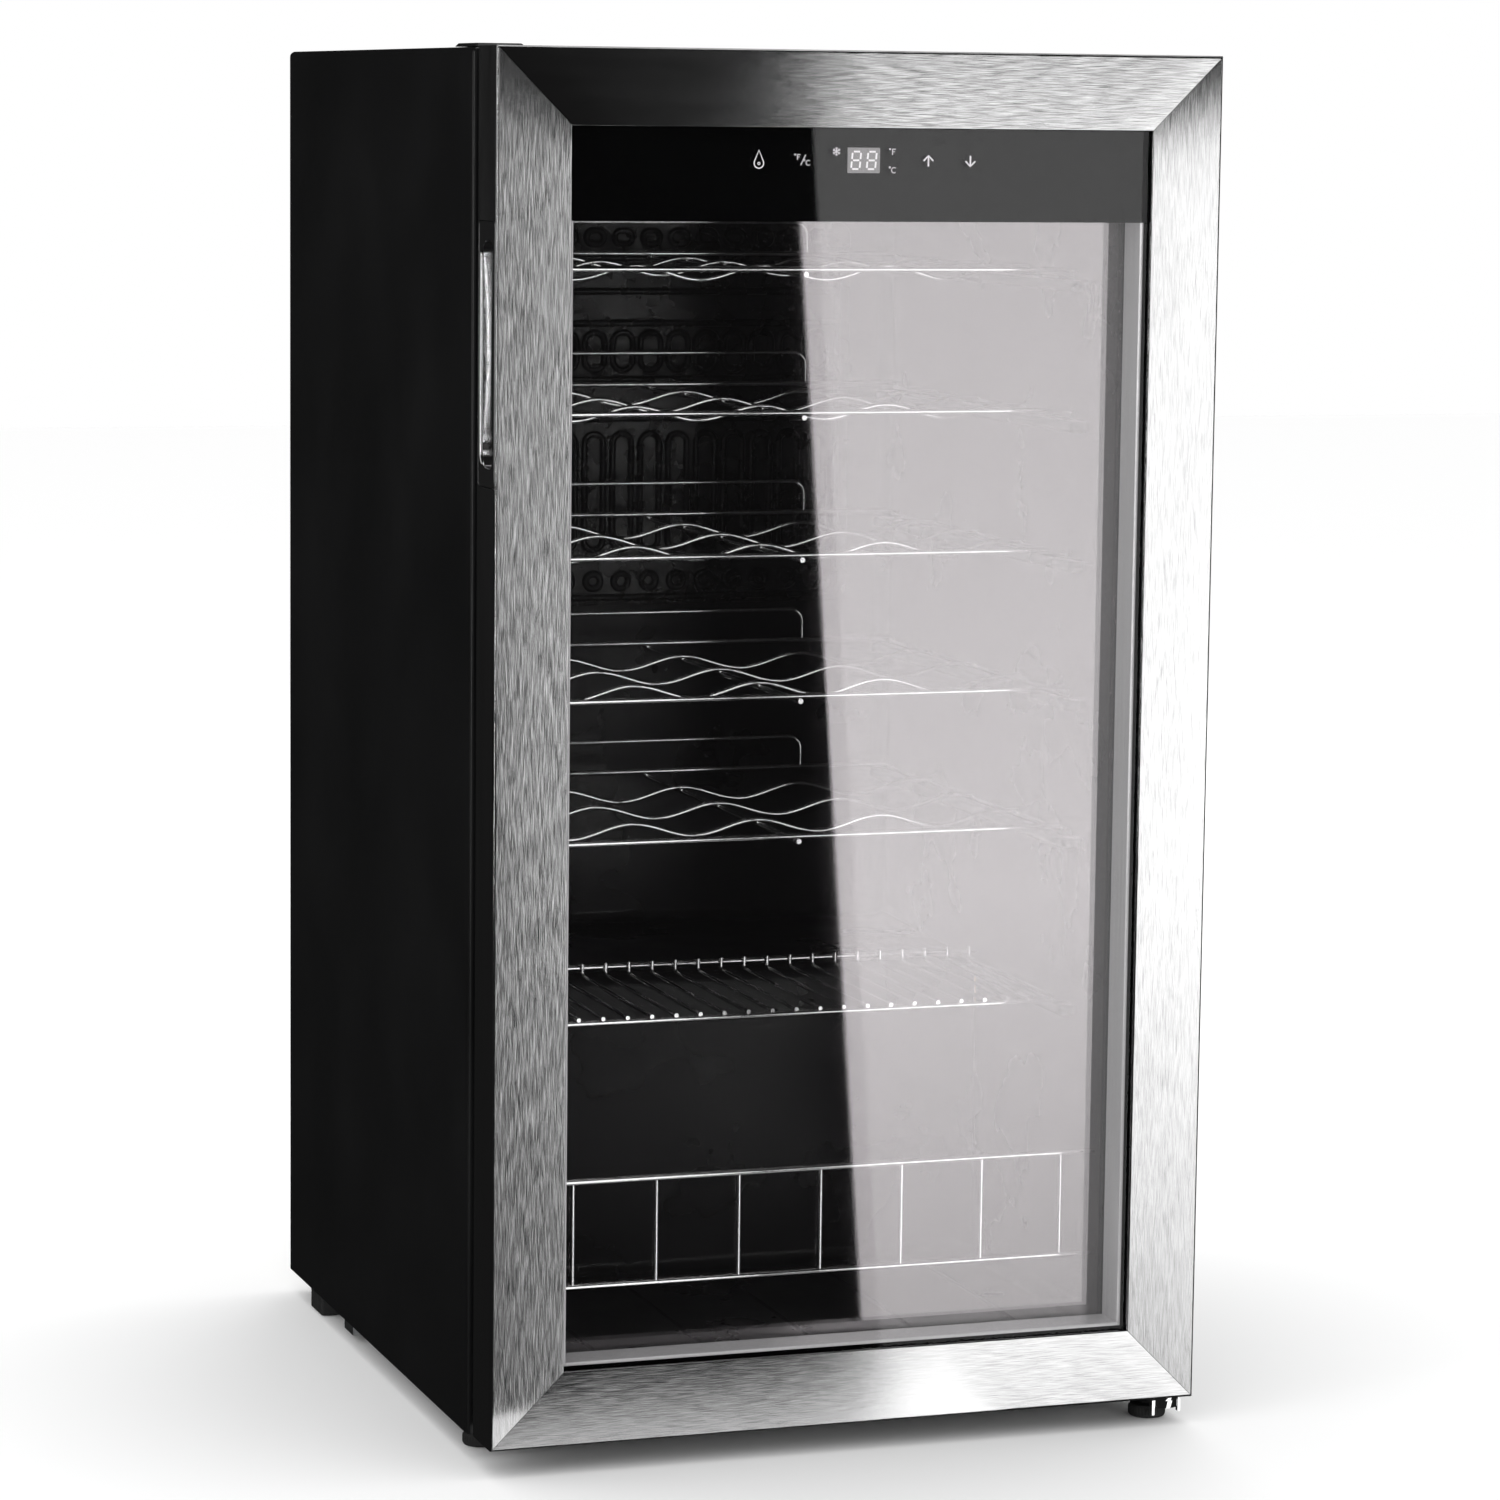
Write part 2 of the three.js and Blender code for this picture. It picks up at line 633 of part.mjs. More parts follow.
function upperHinge() {
  const low = capTop + 0.7;
  const top = cabinetTop - SHEET - FIT;
  const seat = box(hingeX - HINGE_ARM - 4, insideSheet, cabinetFrontY + LINER_SHEET + FIT,
    cabinetFrontY + 55, low, top);
  return join(
    hingeTongue(cabinetFrontY + 30, low, top),
    seat,
    upright(hingeX, hingeY, capTop - 8, low + 1, PIN_R),
  );
}
add("upper_hinge_plate", upperHinge(), zinc);

const bracketTop = CABINET_FLOOR_GAP - FIT;
const bracketLow = bracketTop - 2.7;

// The lower plate has a rim turned down round its front, with an ear each side.
function lowerHinge() {
  const pin = upright(hingeX, hingeY, bracketTop - 1, DOOR_FLOOR_GAP + 9, PIN_R);
  const wide = box(hingeX - 32, halfW - 2, cabinetFrontY, cabinetFrontY + 55, bracketLow, bracketTop);
  const web = box(rightFoot.x - 8, hingeX, rightFoot.y - 7, cabinetFrontY + 5, bracketLow, bracketTop);
  const rimLow = bracketLow - 3.6;
  const rim = cut(
    upright(hingeX, hingeY, rimLow, bracketLow + 1, HINGE_ARM, 24),
    upright(hingeX, hingeY, rimLow - 1, bracketLow, HINGE_ARM - 1.6, 24),
    box(hingeX - 20, hingeX + 20, hingeY - 3, hingeY + 20, rimLow - 1, bracketLow + 2),
  );
  const ears = [[-1, 3.4], [1, 5]].map(([side, low]) => {
    const x = hingeX + side * (HINGE_ARM - 1.5);
    return box(x - 0.8, x + 0.8, hingeY - 7, hingeY - 3.8, low, bracketLow + 1);
  });
  const plate = join(hingeTongue(cabinetFrontY + 10, bracketLow, bracketTop), wide, web, rim, ...ears, pin);
  return cut(plate, upright(rightFoot.x, rightFoot.y, 0, bracketTop + 1, stemR + FIT, 12));
}
add("lower_hinge_bracket", lowerHinge(), zinc);

// ---------------------------------------------------------------- feet
for (const [name, foot] of [["left", leftFoot], ["right", rightFoot]]) {
  const profile = [
    [0, 0], [footR - 1, 0], [footR, 1], [footR, footHeight - 1.5], [footR - 1.5, footHeight],
    [stemR, footHeight], [stemR, foot.top], [0, foot.top],
  ];
  add(`front_foot_${name}`, turned(foot.x, foot.y, profile, 20), rubber);
}

// ---------------------------------------------------------------- racks
function waveRack(z) {
  const low = z - rodDrop;
  const over = 2.5;
  const wires = [rackFrontY, rackRearY].map((y) => wire([[-rackHalf, y, z], [rackHalf, y, z]], RAIL_R));
  const rodX = rackHalf - ROD_R - 0.5;
  for (const x of [-rodX, 0, rodX]) {
    wires.push(wire([[x, rackFrontY - over, low], [x, rackRearY + over, low]], ROD_R));
  }
  const flatX = linerHalf - LEDGE - 1.5; // the waves run out flat over the ledges
  const waveEnd = flatX - 3.5;
  const steps = Math.round((2 * waveEnd) / (WAVE_PITCH / WAVE_STEPS));
  const seatZ = low + ROD_R + WAVE_R - WELD;
  for (const part of [0.25, 0.5, 0.75]) {
    const y = rackFrontY + (rackRearY - rackFrontY) * part;
    const points = [[-rodX - 1, y, seatZ], [-flatX, y, seatZ]];
    for (let i = 0; i <= steps; i += 1) {
      const x = -waveEnd + (2 * waveEnd * i) / steps;
      const fall = (WAVE_HEIGHT / 2) * (1 - Math.cos((2 * Math.PI * x) / WAVE_PITCH));
      points.push([x, y, seatZ - fall]);
    }
    points.push([flatX, y, seatZ], [rodX + 1, y, seatZ]);
    wires.push(wire(points, WAVE_R, 5));
  }
  return join(...wires);
}

function rackStop(z) {
  const foot = z + RAIL_R / Math.cos(Math.PI / 6) + FIT;
  const half = STOP_SPAN / 2;
  const top = z + STOP_HEIGHT;
  const corners = [
    [-half, rackRearY, foot], [-half, rackRearY, top], [half, rackRearY, top], [half, rackRearY, foot],
  ];
  return wire(bent(corners, STOP_BEND, 3), WAVE_R, 5);
}

for (let i = 0; i < RACK_COUNT; i += 1) {
  add(`wave_rack_${i + 1}`, waveRack(rackZ(i)), chrome);
  add(`rack_stop_${i + 1}`, rackStop(rackZ(i)), chrome);
}

// The flat shelf carries the hump's top forward. Its wires turn up at the rear against a second rail.
function flatShelf() {
  const wireZ = shelfZ + RAIL_R + SHELF_WIRE_R - WELD;
  const rearRailY = humpFrontY - 6.4;
  const turnY = rearRailY - RAIL_R - SHELF_WIRE_R + WELD;
  const upZ = wireZ + 8;
  const outerX = rackHalf - 6.6;
  const wires = [
    wire([[-rackHalf, rackFrontY, shelfZ], [rackHalf, rackFrontY, shelfZ]], RAIL_R),
    wire([[-rackHalf, rearRailY, upZ - 3], [rackHalf, rearRailY, upZ - 3]], RAIL_R),
  ];
  for (let i = 0; i < SHELF_WIRES; i += 1) {
    const x = -outerX + (2 * outerX * i) / (SHELF_WIRES - 1);
    wires.push(wire([[x, rackFrontY - 2, wireZ], [x, turnY, wireZ], [x, turnY, upZ]], SHELF_WIRE_R, 5));
  }
  return join(...wires);
}
add("flat_shelf", flatShelf(), chrome);

function bottleFence() {
  const y = cabinetFrontY + 8;
  const low = linerFloor + FENCE_LOW;
  const top = low + FENCE_RISE;
  const end = linerHalf - FIT;
  const wires = [low, top].map((z) => wire([[-end, y, z], [end, y, z]], FENCE_R));
  const pitch = (linerHalf - 24) / 3;
  for (let i = -3; i <= 3; i += 1) {
    wires.push(wire([[i * pitch, y, low - 1], [i * pitch, y, top + 1]], 1.5, 5));
  }
  return join(...wires);
}
add("bottle_fence", bottleFence(), chrome);

// ---------------------------------------------------------------- door
// One stainless member: folded sheet cut to a mitre. The sides have a full return, the ends have none.
function doorMember(side) {
  const [b, g] = [DOOR_BORDER, MITRE_GAP];
  const [lo, hi] = [DOOR_FLOOR_GAP, DOOR_TOP];
  const skinY = frontY + DOOR_SHEET;
  const lipY = frontY + SKIN_LIP;
  const tall = side === "left" || side === "right";
  const sign = side === "left" || side === "bottom" ? -1 : 1;
  const mitre = tall
    ? [[sign * halfW, lo + g], [sign * halfW, hi - g],
      [sign * openHalf, hi - b - g], [sign * openHalf, lo + b + g]]
    : [[-halfW + g, sign > 0 ? hi : lo], [halfW - g, sign > 0 ? hi : lo],
      [openHalf - g, sign > 0 ? openTop : openLow], [-openHalf + g, sign > 0 ? openTop : openLow]];
  const inWall = (from, y0, y1) => (tall
    ? box(Math.min(from, from + sign * DOOR_SHEET), Math.max(from, from + sign * DOOR_SHEET), y0, y1, lo, hi)
    : box(-halfW, halfW, y0, y1, Math.min(from, from + sign * DOOR_SHEET),
      Math.max(from, from + sign * DOOR_SHEET)));
  const pieces = [box(-halfW, halfW, frontY, skinY, lo, hi)];
  const lipAt = { left: -openHalf, right: openHalf, bottom: openLow, top: openTop }[side];
  pieces.push(inWall(lipAt, frontY, lipY));
  if (tall) pieces.push(inWall(sign * (halfW - DOOR_SHEET), frontY, doorRearY - 0.5));
  const shape = outline(sign * (tall ? 1 : -1) > 0 ? mitre : [...mitre].reverse());
  return join(...pieces).intersect(solid(alongY(shape, frontY - 1, doorRearY + 1)));
}

const handleTop = DOOR_TOP - HANDLE_DROP;
const handleLow = handleTop - HANDLE_LENGTH;
const handleY0 = frontY + HANDLE_EDGE;
const handleY1 = doorRearY - HANDLE_EDGE;
const pocketY0 = handleY0 + HANDLE_RIM;
const pocketY1 = handleY1 - HANDLE_RIM;

// The handle plate's outline, and the pocket's, in (y, z), grown by g.
const platePlan = (g) => roundedRect(handleY0 - g, handleY1 + g, handleLow - g, handleTop + g, 3);
const pocketPlan = (g) => roundedRect(
  pocketY0 - g, pocketY1 + g, handleLow + HANDLE_END - g, handleTop - HANDLE_END + g,
  (pocketY1 - pocketY0) / 2 + g - 0.1,
);

const hingeClear = box(halfW - 10, halfW + 1, frontY + DOOR_SHEET + 0.1, doorRearY, capTop, DOOR_TOP + 1);
const handleHole = alongX(platePlan(FIT), -halfW - 1, -halfW + 2);
add("door_frame_left", cut(doorMember("left"), handleHole), stainless);
add("door_frame_right", cut(doorMember("right"), hingeClear), stainless);
add("door_frame_top", doorMember("top"), stainless);
add("door_frame_bottom", doorMember("bottom"), stainless);

function handleCup() {
  const pocketX = -halfW + HANDLE_DEPTH;
  const plate = alongX(platePlan(0), -halfW, -halfW + 1.2);
  const cup = alongX(pocketPlan(CUP_WALL), -halfW, pocketX + CUP_WALL);
  return cut(join(plate, cup), alongX(pocketPlan(0), -halfW - 1, pocketX));
}
add("handle_cup", handleCup(), chrome);

const capHeight = 9;
const capX = insideSheet;
const capY0 = frontY + DOOR_SHEET + FIT;
const frameLow = DOOR_FLOOR_GAP + FIT + capHeight + FIT;
const frameTop = capTop - capHeight - FIT;
const glassY = frontY + SKIN_LIP + FIT; // front of the outer pane
const spacerY = glassY + PANE + FIT;
const innerPaneY = doorRearY - PANE_SETBACK - PANE;
const windowTop = openTop - CONTROL_BAND;
const pinHole = (z0, z1) => upright(hingeX, hingeY, z0, z1, (PIN_R + PIN_PLAY) / Math.cos(Math.PI / 16));

add(
  "door_top_cap",
  cut(box(-capX, capX, capY0, doorRearY, capTop - capHeight, capTop), pinHole(0, DOOR_TOP)),
  blackPlastic,
);

function bottomCap() {
  const low = DOOR_FLOOR_GAP + FIT;
  const cap = box(-capX, capX, capY0, doorRearY, low, low + capHeight);
  const bush = upright(hingeX, hingeY, bracketTop + FIT, low + 1, PIN_R + 2);
  return cut(join(cap, bush), pinHole(0, 40));
}
add("door_bottom_cap", bottomCap(), blackPlastic);

const boardHalf = 90;
const boardLow = windowTop + 8;
const boardTop = openTop - 5;
const boardMiddle = (boardLow + boardTop) / 2;
const boardSheet = 1.6;
const controlsMargin = 2; // room round the board in the core
const controlsDepth = 14;

function doorCore() {
  const block = box(-capX, capX, capY0, doorRearY, frameLow, frameTop);
  const seatHalf = openHalf + GLASS_OVERLAP + FIT;
  const glassSeat = box(-seatHalf, seatHalf, frontY, spacerY, openLow - GLASS_OVERLAP - FIT,
    openTop + GLASS_OVERLAP + FIT);
  const window = box(-openHalf, openHalf, frontY, doorRearY + 1, openLow, windowTop);
  const controlsHalf = boardHalf + controlsMargin;
  const controls = box(-controlsHalf, controlsHalf, frontY, spacerY + controlsDepth,
    boardLow - controlsMargin, boardTop + controlsMargin);
  const pocket = alongX(pocketPlan(CUP_WALL + FIT), -halfW - 1, -halfW + HANDLE_DEPTH + CUP_WALL + FIT);
  const plateSeat = alongX(platePlan(FIT), -halfW - 1, -halfW + 1.2 + FIT);
  return cut(block, glassSeat, window, controls, pocket, plateSeat);
}
add("door_inner_frame", doorCore(), blackPlastic);

const paneHalf = openHalf + GLASS_OVERLAP;
add(
  "outer_glass",
  box(-paneHalf, paneHalf, glassY, glassY + PANE, openLow - GLASS_OVERLAP, openTop + GLASS_OVERLAP),
  tintedGlass,
);
const unitHalf = openHalf - FIT;
add(
  "glass_spacer",
  cut(
    box(-unitHalf, unitHalf, spacerY, innerPaneY - FIT, openLow + FIT, windowTop - FIT),
    box(-unitHalf + SPACER_WIDTH, unitHalf - SPACER_WIDTH, frontY, rearY, openLow + FIT + SPACER_WIDTH,
      windowTop - FIT - SPACER_WIDTH),
  ),
  blackPlastic,
);
add(
  "inner_glass",
  box(-unitHalf, unitHalf, innerPaneY, innerPaneY + PANE, openLow + FIT, windowTop - FIT),
  tintedGlass,
);

const displayDepth = 6;
const displayHalf = 14;
add(
  "display_module",
  box(-displayHalf, displayHalf, spacerY, spacerY + displayDepth, boardMiddle - 10, boardMiddle + 14),
  greyPlastic,
);
const boardY = spacerY + displayDepth + FIT;
add(
  "control_board",
  box(-boardHalf, boardHalf, boardY, boardY + boardSheet, boardLow, boardTop),
  boardGreen,
);

const gasketOut = halfW - GASKET_INSET;
const gasketLow = DOOR_FLOOR_GAP + GASKET_INSET;
const gasketTop = DOOR_TOP - GASKET_INSET - DOOR_RIM / 2;
add(
  "door_gasket",
  cut(
    box(-gasketOut, gasketOut, doorRearY + FIT, cabinetFrontY - 0.5, gasketLow, gasketTop),
    box(-gasketOut + GASKET_WIDTH, gasketOut - GASKET_WIDTH, frontY, rearY, gasketLow + GASKET_WIDTH,
      gasketTop - GASKET_WIDTH),
  ),
  rubber,
);

export default root;
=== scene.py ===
"""A free-standing wine cooler: black steel cabinet, stainless framed glass door and chromed wire racks.

Metres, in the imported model's own frame: +Z up, the door faces -Y and its hinges are at +X.
"""
import json
from math import atan, cos, hypot, pi, radians, sin

import bmesh
import bpy
from mathutils import Matrix, Vector

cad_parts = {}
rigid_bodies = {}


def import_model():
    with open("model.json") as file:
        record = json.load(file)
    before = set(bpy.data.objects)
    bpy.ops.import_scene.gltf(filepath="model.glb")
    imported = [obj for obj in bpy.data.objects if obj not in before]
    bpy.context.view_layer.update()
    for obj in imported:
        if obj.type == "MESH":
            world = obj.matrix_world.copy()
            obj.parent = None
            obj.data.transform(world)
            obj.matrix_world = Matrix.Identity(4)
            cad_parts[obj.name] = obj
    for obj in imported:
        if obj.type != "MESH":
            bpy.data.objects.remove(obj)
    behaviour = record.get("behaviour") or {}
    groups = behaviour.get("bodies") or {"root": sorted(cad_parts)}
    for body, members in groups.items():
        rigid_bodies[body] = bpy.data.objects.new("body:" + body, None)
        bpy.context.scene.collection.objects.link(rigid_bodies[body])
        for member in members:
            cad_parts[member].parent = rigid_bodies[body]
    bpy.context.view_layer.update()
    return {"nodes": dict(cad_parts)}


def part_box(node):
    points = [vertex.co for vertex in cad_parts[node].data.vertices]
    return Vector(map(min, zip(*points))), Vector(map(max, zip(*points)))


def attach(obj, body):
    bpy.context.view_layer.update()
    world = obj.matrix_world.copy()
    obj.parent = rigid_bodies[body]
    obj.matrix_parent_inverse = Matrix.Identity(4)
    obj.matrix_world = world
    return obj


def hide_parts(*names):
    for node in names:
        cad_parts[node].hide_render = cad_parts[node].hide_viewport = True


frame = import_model()
nodes = frame["nodes"]
scene = bpy.context.scene
MM = 0.001


# ------------------------------------------------------------------ where it is seen from
# A long lens a little below the cabinet's top, three metres off and to the left of the door.
camera = bpy.data.objects.new("camera", bpy.data.cameras.new("camera"))
scene.collection.objects.link(camera)
camera.data.lens = 119.1
eye = Vector((-0.99945, -2.94594, 0.79424))
to_the_right, downwards, lean = (radians(angle) for angle in (19.03, 7.393, 0.669))
camera.matrix_world = (
    Matrix.Translation(eye)
    @ Matrix.Rotation(-to_the_right, 4, "Z")
    @ Matrix.Rotation(pi / 2 - downwards, 4, "X")
    @ Matrix.Rotation(lean, 4, "Z")
)
scene.camera = camera


# ------------------------------------------------------------------ studio
# A white floor under a white surround, and soft boxes that the shiny faces mirror. The tall box in front
# and to the right has a leaning left edge, and ends a little above the door's top.
scene.view_settings.view_transform = "Standard"


def studio_surround(seen, soft, mirrored):
    world = bpy.data.worlds.new("surround")
    scene.world = world
    world.use_nodes = True
    world.cycles.sampling_method = "NONE"
    tree = world.node_tree
    tree.nodes.clear()
    rays = tree.nodes.new("ShaderNodeLightPath")
    out = tree.nodes.new("ShaderNodeOutputWorld")
    blend = None
    for ray, level in ((None, soft), ("Is Glossy Ray", mirrored), ("Is Camera Ray", seen)):
        back = tree.nodes.new("ShaderNodeBackground")
        back.inputs["Color"].default_value = (level, level, level, 1)
        if ray:
            mix = tree.nodes.new("ShaderNodeMixShader")
            for source, socket in zip((rays.outputs[ray], blend, back.outputs[0]), mix.inputs):
                tree.links.new(source, socket)
        blend = mix.outputs[0] if ray else back.outputs[0]
    tree.links.new(blend, out.inputs["Surface"])


def soft_box(name, centre, towards, width, height, brightness, lean=0.0):
    light = bpy.data.lights.new(name, "AREA")
    light.shape = "RECTANGLE"
    light.size, light.size_y = width, height
    light.energy = brightness * pi * width * height
    lamp = bpy.data.objects.new(name, light)
    scene.collection.objects.link(lamp)
    aim = (Vector(towards) - Vector(centre)).to_track_quat("-Z", "Y").to_matrix().to_4x4()
    lamp.matrix_world = Matrix.Translation(centre) @ aim @ Matrix.Rotation(lean, 4, "Z")
    lamp.visible_camera = False
    return lamp


BRIGHTEST_SHARE = 0.62


def faded(lamp, foot, middle, head):
    """Dims a soft box towards its foot and head, as shares of its brightness."""
    lamp.data.use_nodes = True
    tree = lamp.data.node_tree
    place = tree.nodes.new("ShaderNodeNewGeometry")
    parts = tree.nodes.new("ShaderNodeSeparateXYZ")
    ramp = tree.nodes.new("ShaderNodeValToRGB")
    ramp.color_ramp.elements[0].color = (foot, foot, foot, 1)
    ramp.color_ramp.elements[1].color = (head, head, head, 1)
    ramp.color_ramp.elements.new(BRIGHTEST_SHARE).color = (middle, middle, middle, 1)
    tree.links.new(place.outputs["Parametric"], parts.inputs[0])
    tree.links.new(parts.outputs["Y"], ramp.inputs["Fac"])
    tree.links.new(ramp.outputs["Color"], tree.nodes["Emission"].inputs["Color"])


studio_surround(seen=1.0, soft=1.15, mirrored=0.012)
LIGHT_WIDE, LIGHT_TALL = 1.7, 2.3
LIGHT_LEFT, LIGHT_TOP, LIGHT_AWAY = 0.774, 0.86, 2.5
light_lean = atan(0.073)
light_x = LIGHT_LEFT + (LIGHT_WIDE * cos(light_lean) + LIGHT_TALL * sin(light_lean)) / 2
light_z = LIGHT_TOP - LIGHT_TALL / 2
door_light = soft_box("door_light", (light_x, -LIGHT_AWAY, light_z), (light_x, 0, light_z),
                      LIGHT_WIDE, LIGHT_TALL, 2.75, light_lean)
faded(door_light, 0.08, 1.0, 0.85)
soft_box("overhead_light", (0.2, 0.3, 3.0), (0, 0, 0.4), 2.4, 2.0, 1.1)
soft_box("rear_light", (1.3, 2.9, 1.3), (0, 0.2, 0.4), 1.3, 1.8, 1.4)
soft_box("left_rear_light", (-3.0, 1.2, 1.2), (-0.2, 0, 0.4), 1.4, 1.8, 0.9)
soft_box("left_front_light", (-0.6, -2.6, 0.6), (-0.6, 0, 0.6), 0.8, 0.9, 0.6)
soft_box("left_side_light", (-2.5, -1.3, 0.75), (-0.22, -0.2, 0.6), 0.14, 1.6, 11.0)
soft_box("low_card", (-0.06, -0.315, 0.001), (-0.06, -0.315, 1), 0.34, 0.11, 1.0)

floor_mesh = bpy.data.meshes.new("floor")
floor_mesh.from_pydata([(-9, -9, 0), (9, -9, 0), (9, 9, 0), (-9, 9, 0)], [], [(0, 1, 2, 3)])
floor = bpy.data.objects.new("floor", floor_mesh)
scene.collection.objects.link(floor)
floor.location.z = -0.2 * MM
floor.visible_glossy = False
floor.visible_shadow = False


def material(name, colour, roughness, metallic=0.0):
    made = bpy.data.materials.new(name)
    made.use_nodes = True
    shader = made.node_tree.nodes["Principled BSDF"]
    shader.inputs["Base Color"].default_value = (*colour, 1)
    shader.inputs["Roughness"].default_value = roughness
    shader.inputs["Metallic"].default_value = metallic
    return made, made.node_tree, shader


floor_mesh.materials.append(material("floor_paint", (0.93, 0.93, 0.93), 0.9)[0])


# ------------------------------------------------------------------ cabinet wrapper
# One sheet of pre-painted steel folded over both sides and the top, with narrow returns round its front
# and its rear. The paint is black and semi-matt, with a fine orange-peel skin.
def grain(tree, scale, stretch=(1, 1, 1), detail=3.0, place="Object", turned=0.0):
    """A noise of that many grains a metre, along the object's own axes or its sheet's."""
    where = tree.nodes.new("ShaderNodeTexCoord")
    stretched = tree.nodes.new("ShaderNodeMapping")
    stretched.inputs["Scale"].default_value = stretch
    stretched.inputs["Rotation"].default_value = (0, 0, turned)
    noise = tree.nodes.new("ShaderNodeTexNoise")
    noise.inputs["Scale"].default_value = scale
    noise.inputs["Detail"].default_value = detail
    tree.links.new(where.outputs[place], stretched.inputs["Vector"])
    tree.links.new(stretched.outputs["Vector"], noise.inputs["Vector"])
    return noise.outputs["Fac"]


def ranged(tree, value, low, high, socket):
    """Feeds a noise to a socket, spread between two values."""
    spread = tree.nodes.new("ShaderNodeMapRange")
    spread.inputs["From Min"].default_value = 0.3
    spread.inputs["From Max"].default_value = 0.7
    spread.inputs["To Min"].default_value = low
    spread.inputs["To Max"].default_value = high
    tree.links.new(value, spread.inputs["Value"])
    tree.links.new(spread.outputs["Result"], socket)


def tinted(tree, value, dark, light, socket):
    """Feeds a noise to a colour socket, from a dark tone to a light one."""
    ramp = tree.nodes.new("ShaderNodeValToRGB")
    ramp.color_ramp.elements[0].position = 0.3
    ramp.color_ramp.elements[1].position = 0.7
    ramp.color_ramp.elements[0].color = (*dark, 1)
    ramp.color_ramp.elements[1].color = (*light, 1)
    tree.links.new(value, ramp.inputs["Fac"])
    tree.links.new(ramp.outputs["Color"], socket)


def relief(tree, height, depth, strength, socket):
    """Raises the surface by a noise, depth millimetres from its lowest to its highest."""
    bump = tree.nodes.new("ShaderNodeBump")
    bump.inputs["Distance"].default_value = depth * MM
    bump.inputs["Strength"].default_value = strength
    tree.links.new(height, bump.inputs["Height"])
    tree.links.new(bump.outputs["Normal"], socket)


def finish(name, colour, roughness, metallic=0.0, worn=None, tints=None, bumps=None, **constants):
    """A worn surface. Worn is (grains, detail, least roughness, most), tints are (grains, detail, dark,
    light) and bumps are (grains, detail, depth in mm, strength). The constants are sockets by name."""
    made, tree, shader = material(name, colour, roughness, metallic)
    for socket, constant in constants.items():
        shader.inputs[socket.replace("_", " ")].default_value = constant
    uses = ((tinted, tints, "Base Color"), (ranged, worn, "Roughness"), (relief, bumps, "Normal"))
    for feed, use, target in uses:
        if use:
            grains, detail, low, high = use
            feed(tree, grain(tree, grains, detail=detail), low, high, shader.inputs[target])
    return made


black_paint = finish(
    "black_paint", (0.006, 0.006, 0.0065), 0.34, worn=(9, 4, 0.29, 0.40),
    tints=(9, 4, (0.0045, 0.0045, 0.005), (0.0075, 0.0075, 0.008)), bumps=(1100, 2, 0.03, 0.5),
    Specular_IOR_Level=0.5, Coat_Weight=0.15, Coat_Roughness=0.12,
)


def arc(a, b, radius, start, end, steps):
    """Points (a, b) along part of a circle, with angles in degrees."""
    turns = [radians(start + (end - start) * k / steps) for k in range(steps + 1)]
    return [(a + radius * cos(turn), b + radius * sin(turn)) for turn in turns]


def skin(bm, rings, joined=False, capped=True):
    """Faces between rings that have the same number of points, closed at the ends or on themselves."""
    rows = [[bm.verts.new(point) for point in ring] for ring in rings]
    pairs = list(zip(rows, rows[1:]))
    if joined:
        pairs.append((rows[-1], rows[0]))
    for one, two in pairs:
        for k in range(len(one)):
            bm.faces.new((one[k - 1], one[k], two[k], two[k - 1]))
    if capped and not joined:
        bm.faces.new(rows[0])
        bm.faces.new(rows[-1])


def flat_faced(made):
    """Keeps broad faces flat where they run into a small round."""
    made.modifiers.new("flat_faces", "WEIGHTED_NORMAL").keep_sharp = True
    return made


def solid_of(bm, name, turned_in=False):
    """Turns built faces into an object, facing outwards, or inwards as a tub's do."""
    bmesh.ops.recalc_face_normals(bm, faces=bm.faces)
    if turned_in:
        bmesh.ops.reverse_faces(bm, faces=bm.faces)
    mesh = bpy.data.meshes.new(name)
    bm.to_mesh(mesh)
    bm.free()
    made = bpy.data.objects.new(name, mesh)
    scene.collection.objects.link(made)
    return made


def piece_from(bm, name, look, crease=35, sheet=0.0, turned_in=False):
    """Turns built faces into a piece, smooth but for folds sharper than the crease angle. A sheet is
    given its thickness on its back."""
    made = solid_of(bm, name, turned_in)
    made.data.shade_smooth()
    made.data.set_sharp_from_angle(angle=radians(crease))
    made.data.materials.append(look)
    if sheet:
        wall = made.modifiers.new("sheet", "SOLIDIFY")
        wall.thickness = sheet
        wall.offset = -1
    return flat_faced(made)


shell_low, shell_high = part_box("outer_shell")
cabinet_half = shell_high.x
cabinet_front, cabinet_rear = shell_low.y, shell_high.y
cabinet_foot, cabinet_top = shell_low.z, shell_high.z
SHEET = 1.0 * MM
FRONT_RETURN = 8.5 * MM
FOLD = 2.2 * MM


def wrapper_section(inset):
    """The wrapper from the front: up one side, over the top and down the other."""
    radius = max(3.5 * MM - inset, 0.3 * MM)
    side, top = cabinet_half - inset, cabinet_top - inset
    return [
        (-side, cabinet_foot),
        *arc(-side + radius, top - radius, radius, 180, 90, 6),
        *arc(side - radius, top - radius, radius, 90, 0, 6),
        (side, cabinet_foot),
    ]


def wrapper():
    front = [(FRONT_RETURN, cabinet_front), *arc(FOLD, cabinet_front + FOLD, FOLD, 270, 180, 5)]
    rear = [*arc(FOLD, cabinet_rear - FOLD, FOLD, 180, 90, 5), (FRONT_RETURN, cabinet_rear)]
    bm = bmesh.new()
    rows = [
        [bm.verts.new((x, y, z)) for x, z in wrapper_section(inset)]
        for inset, y in front + rear
    ]
    for one, two in zip(rows, rows[1:]):
        for k in range(len(one) - 1):
            bm.faces.new((one[k], one[k + 1], two[k + 1], two[k]))
    return piece_from(bm, "cabinet_wrapper", black_paint, sheet=SHEET)


cabinet_wrapper = wrapper()
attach(cabinet_wrapper, "cabinet")
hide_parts("outer_shell")


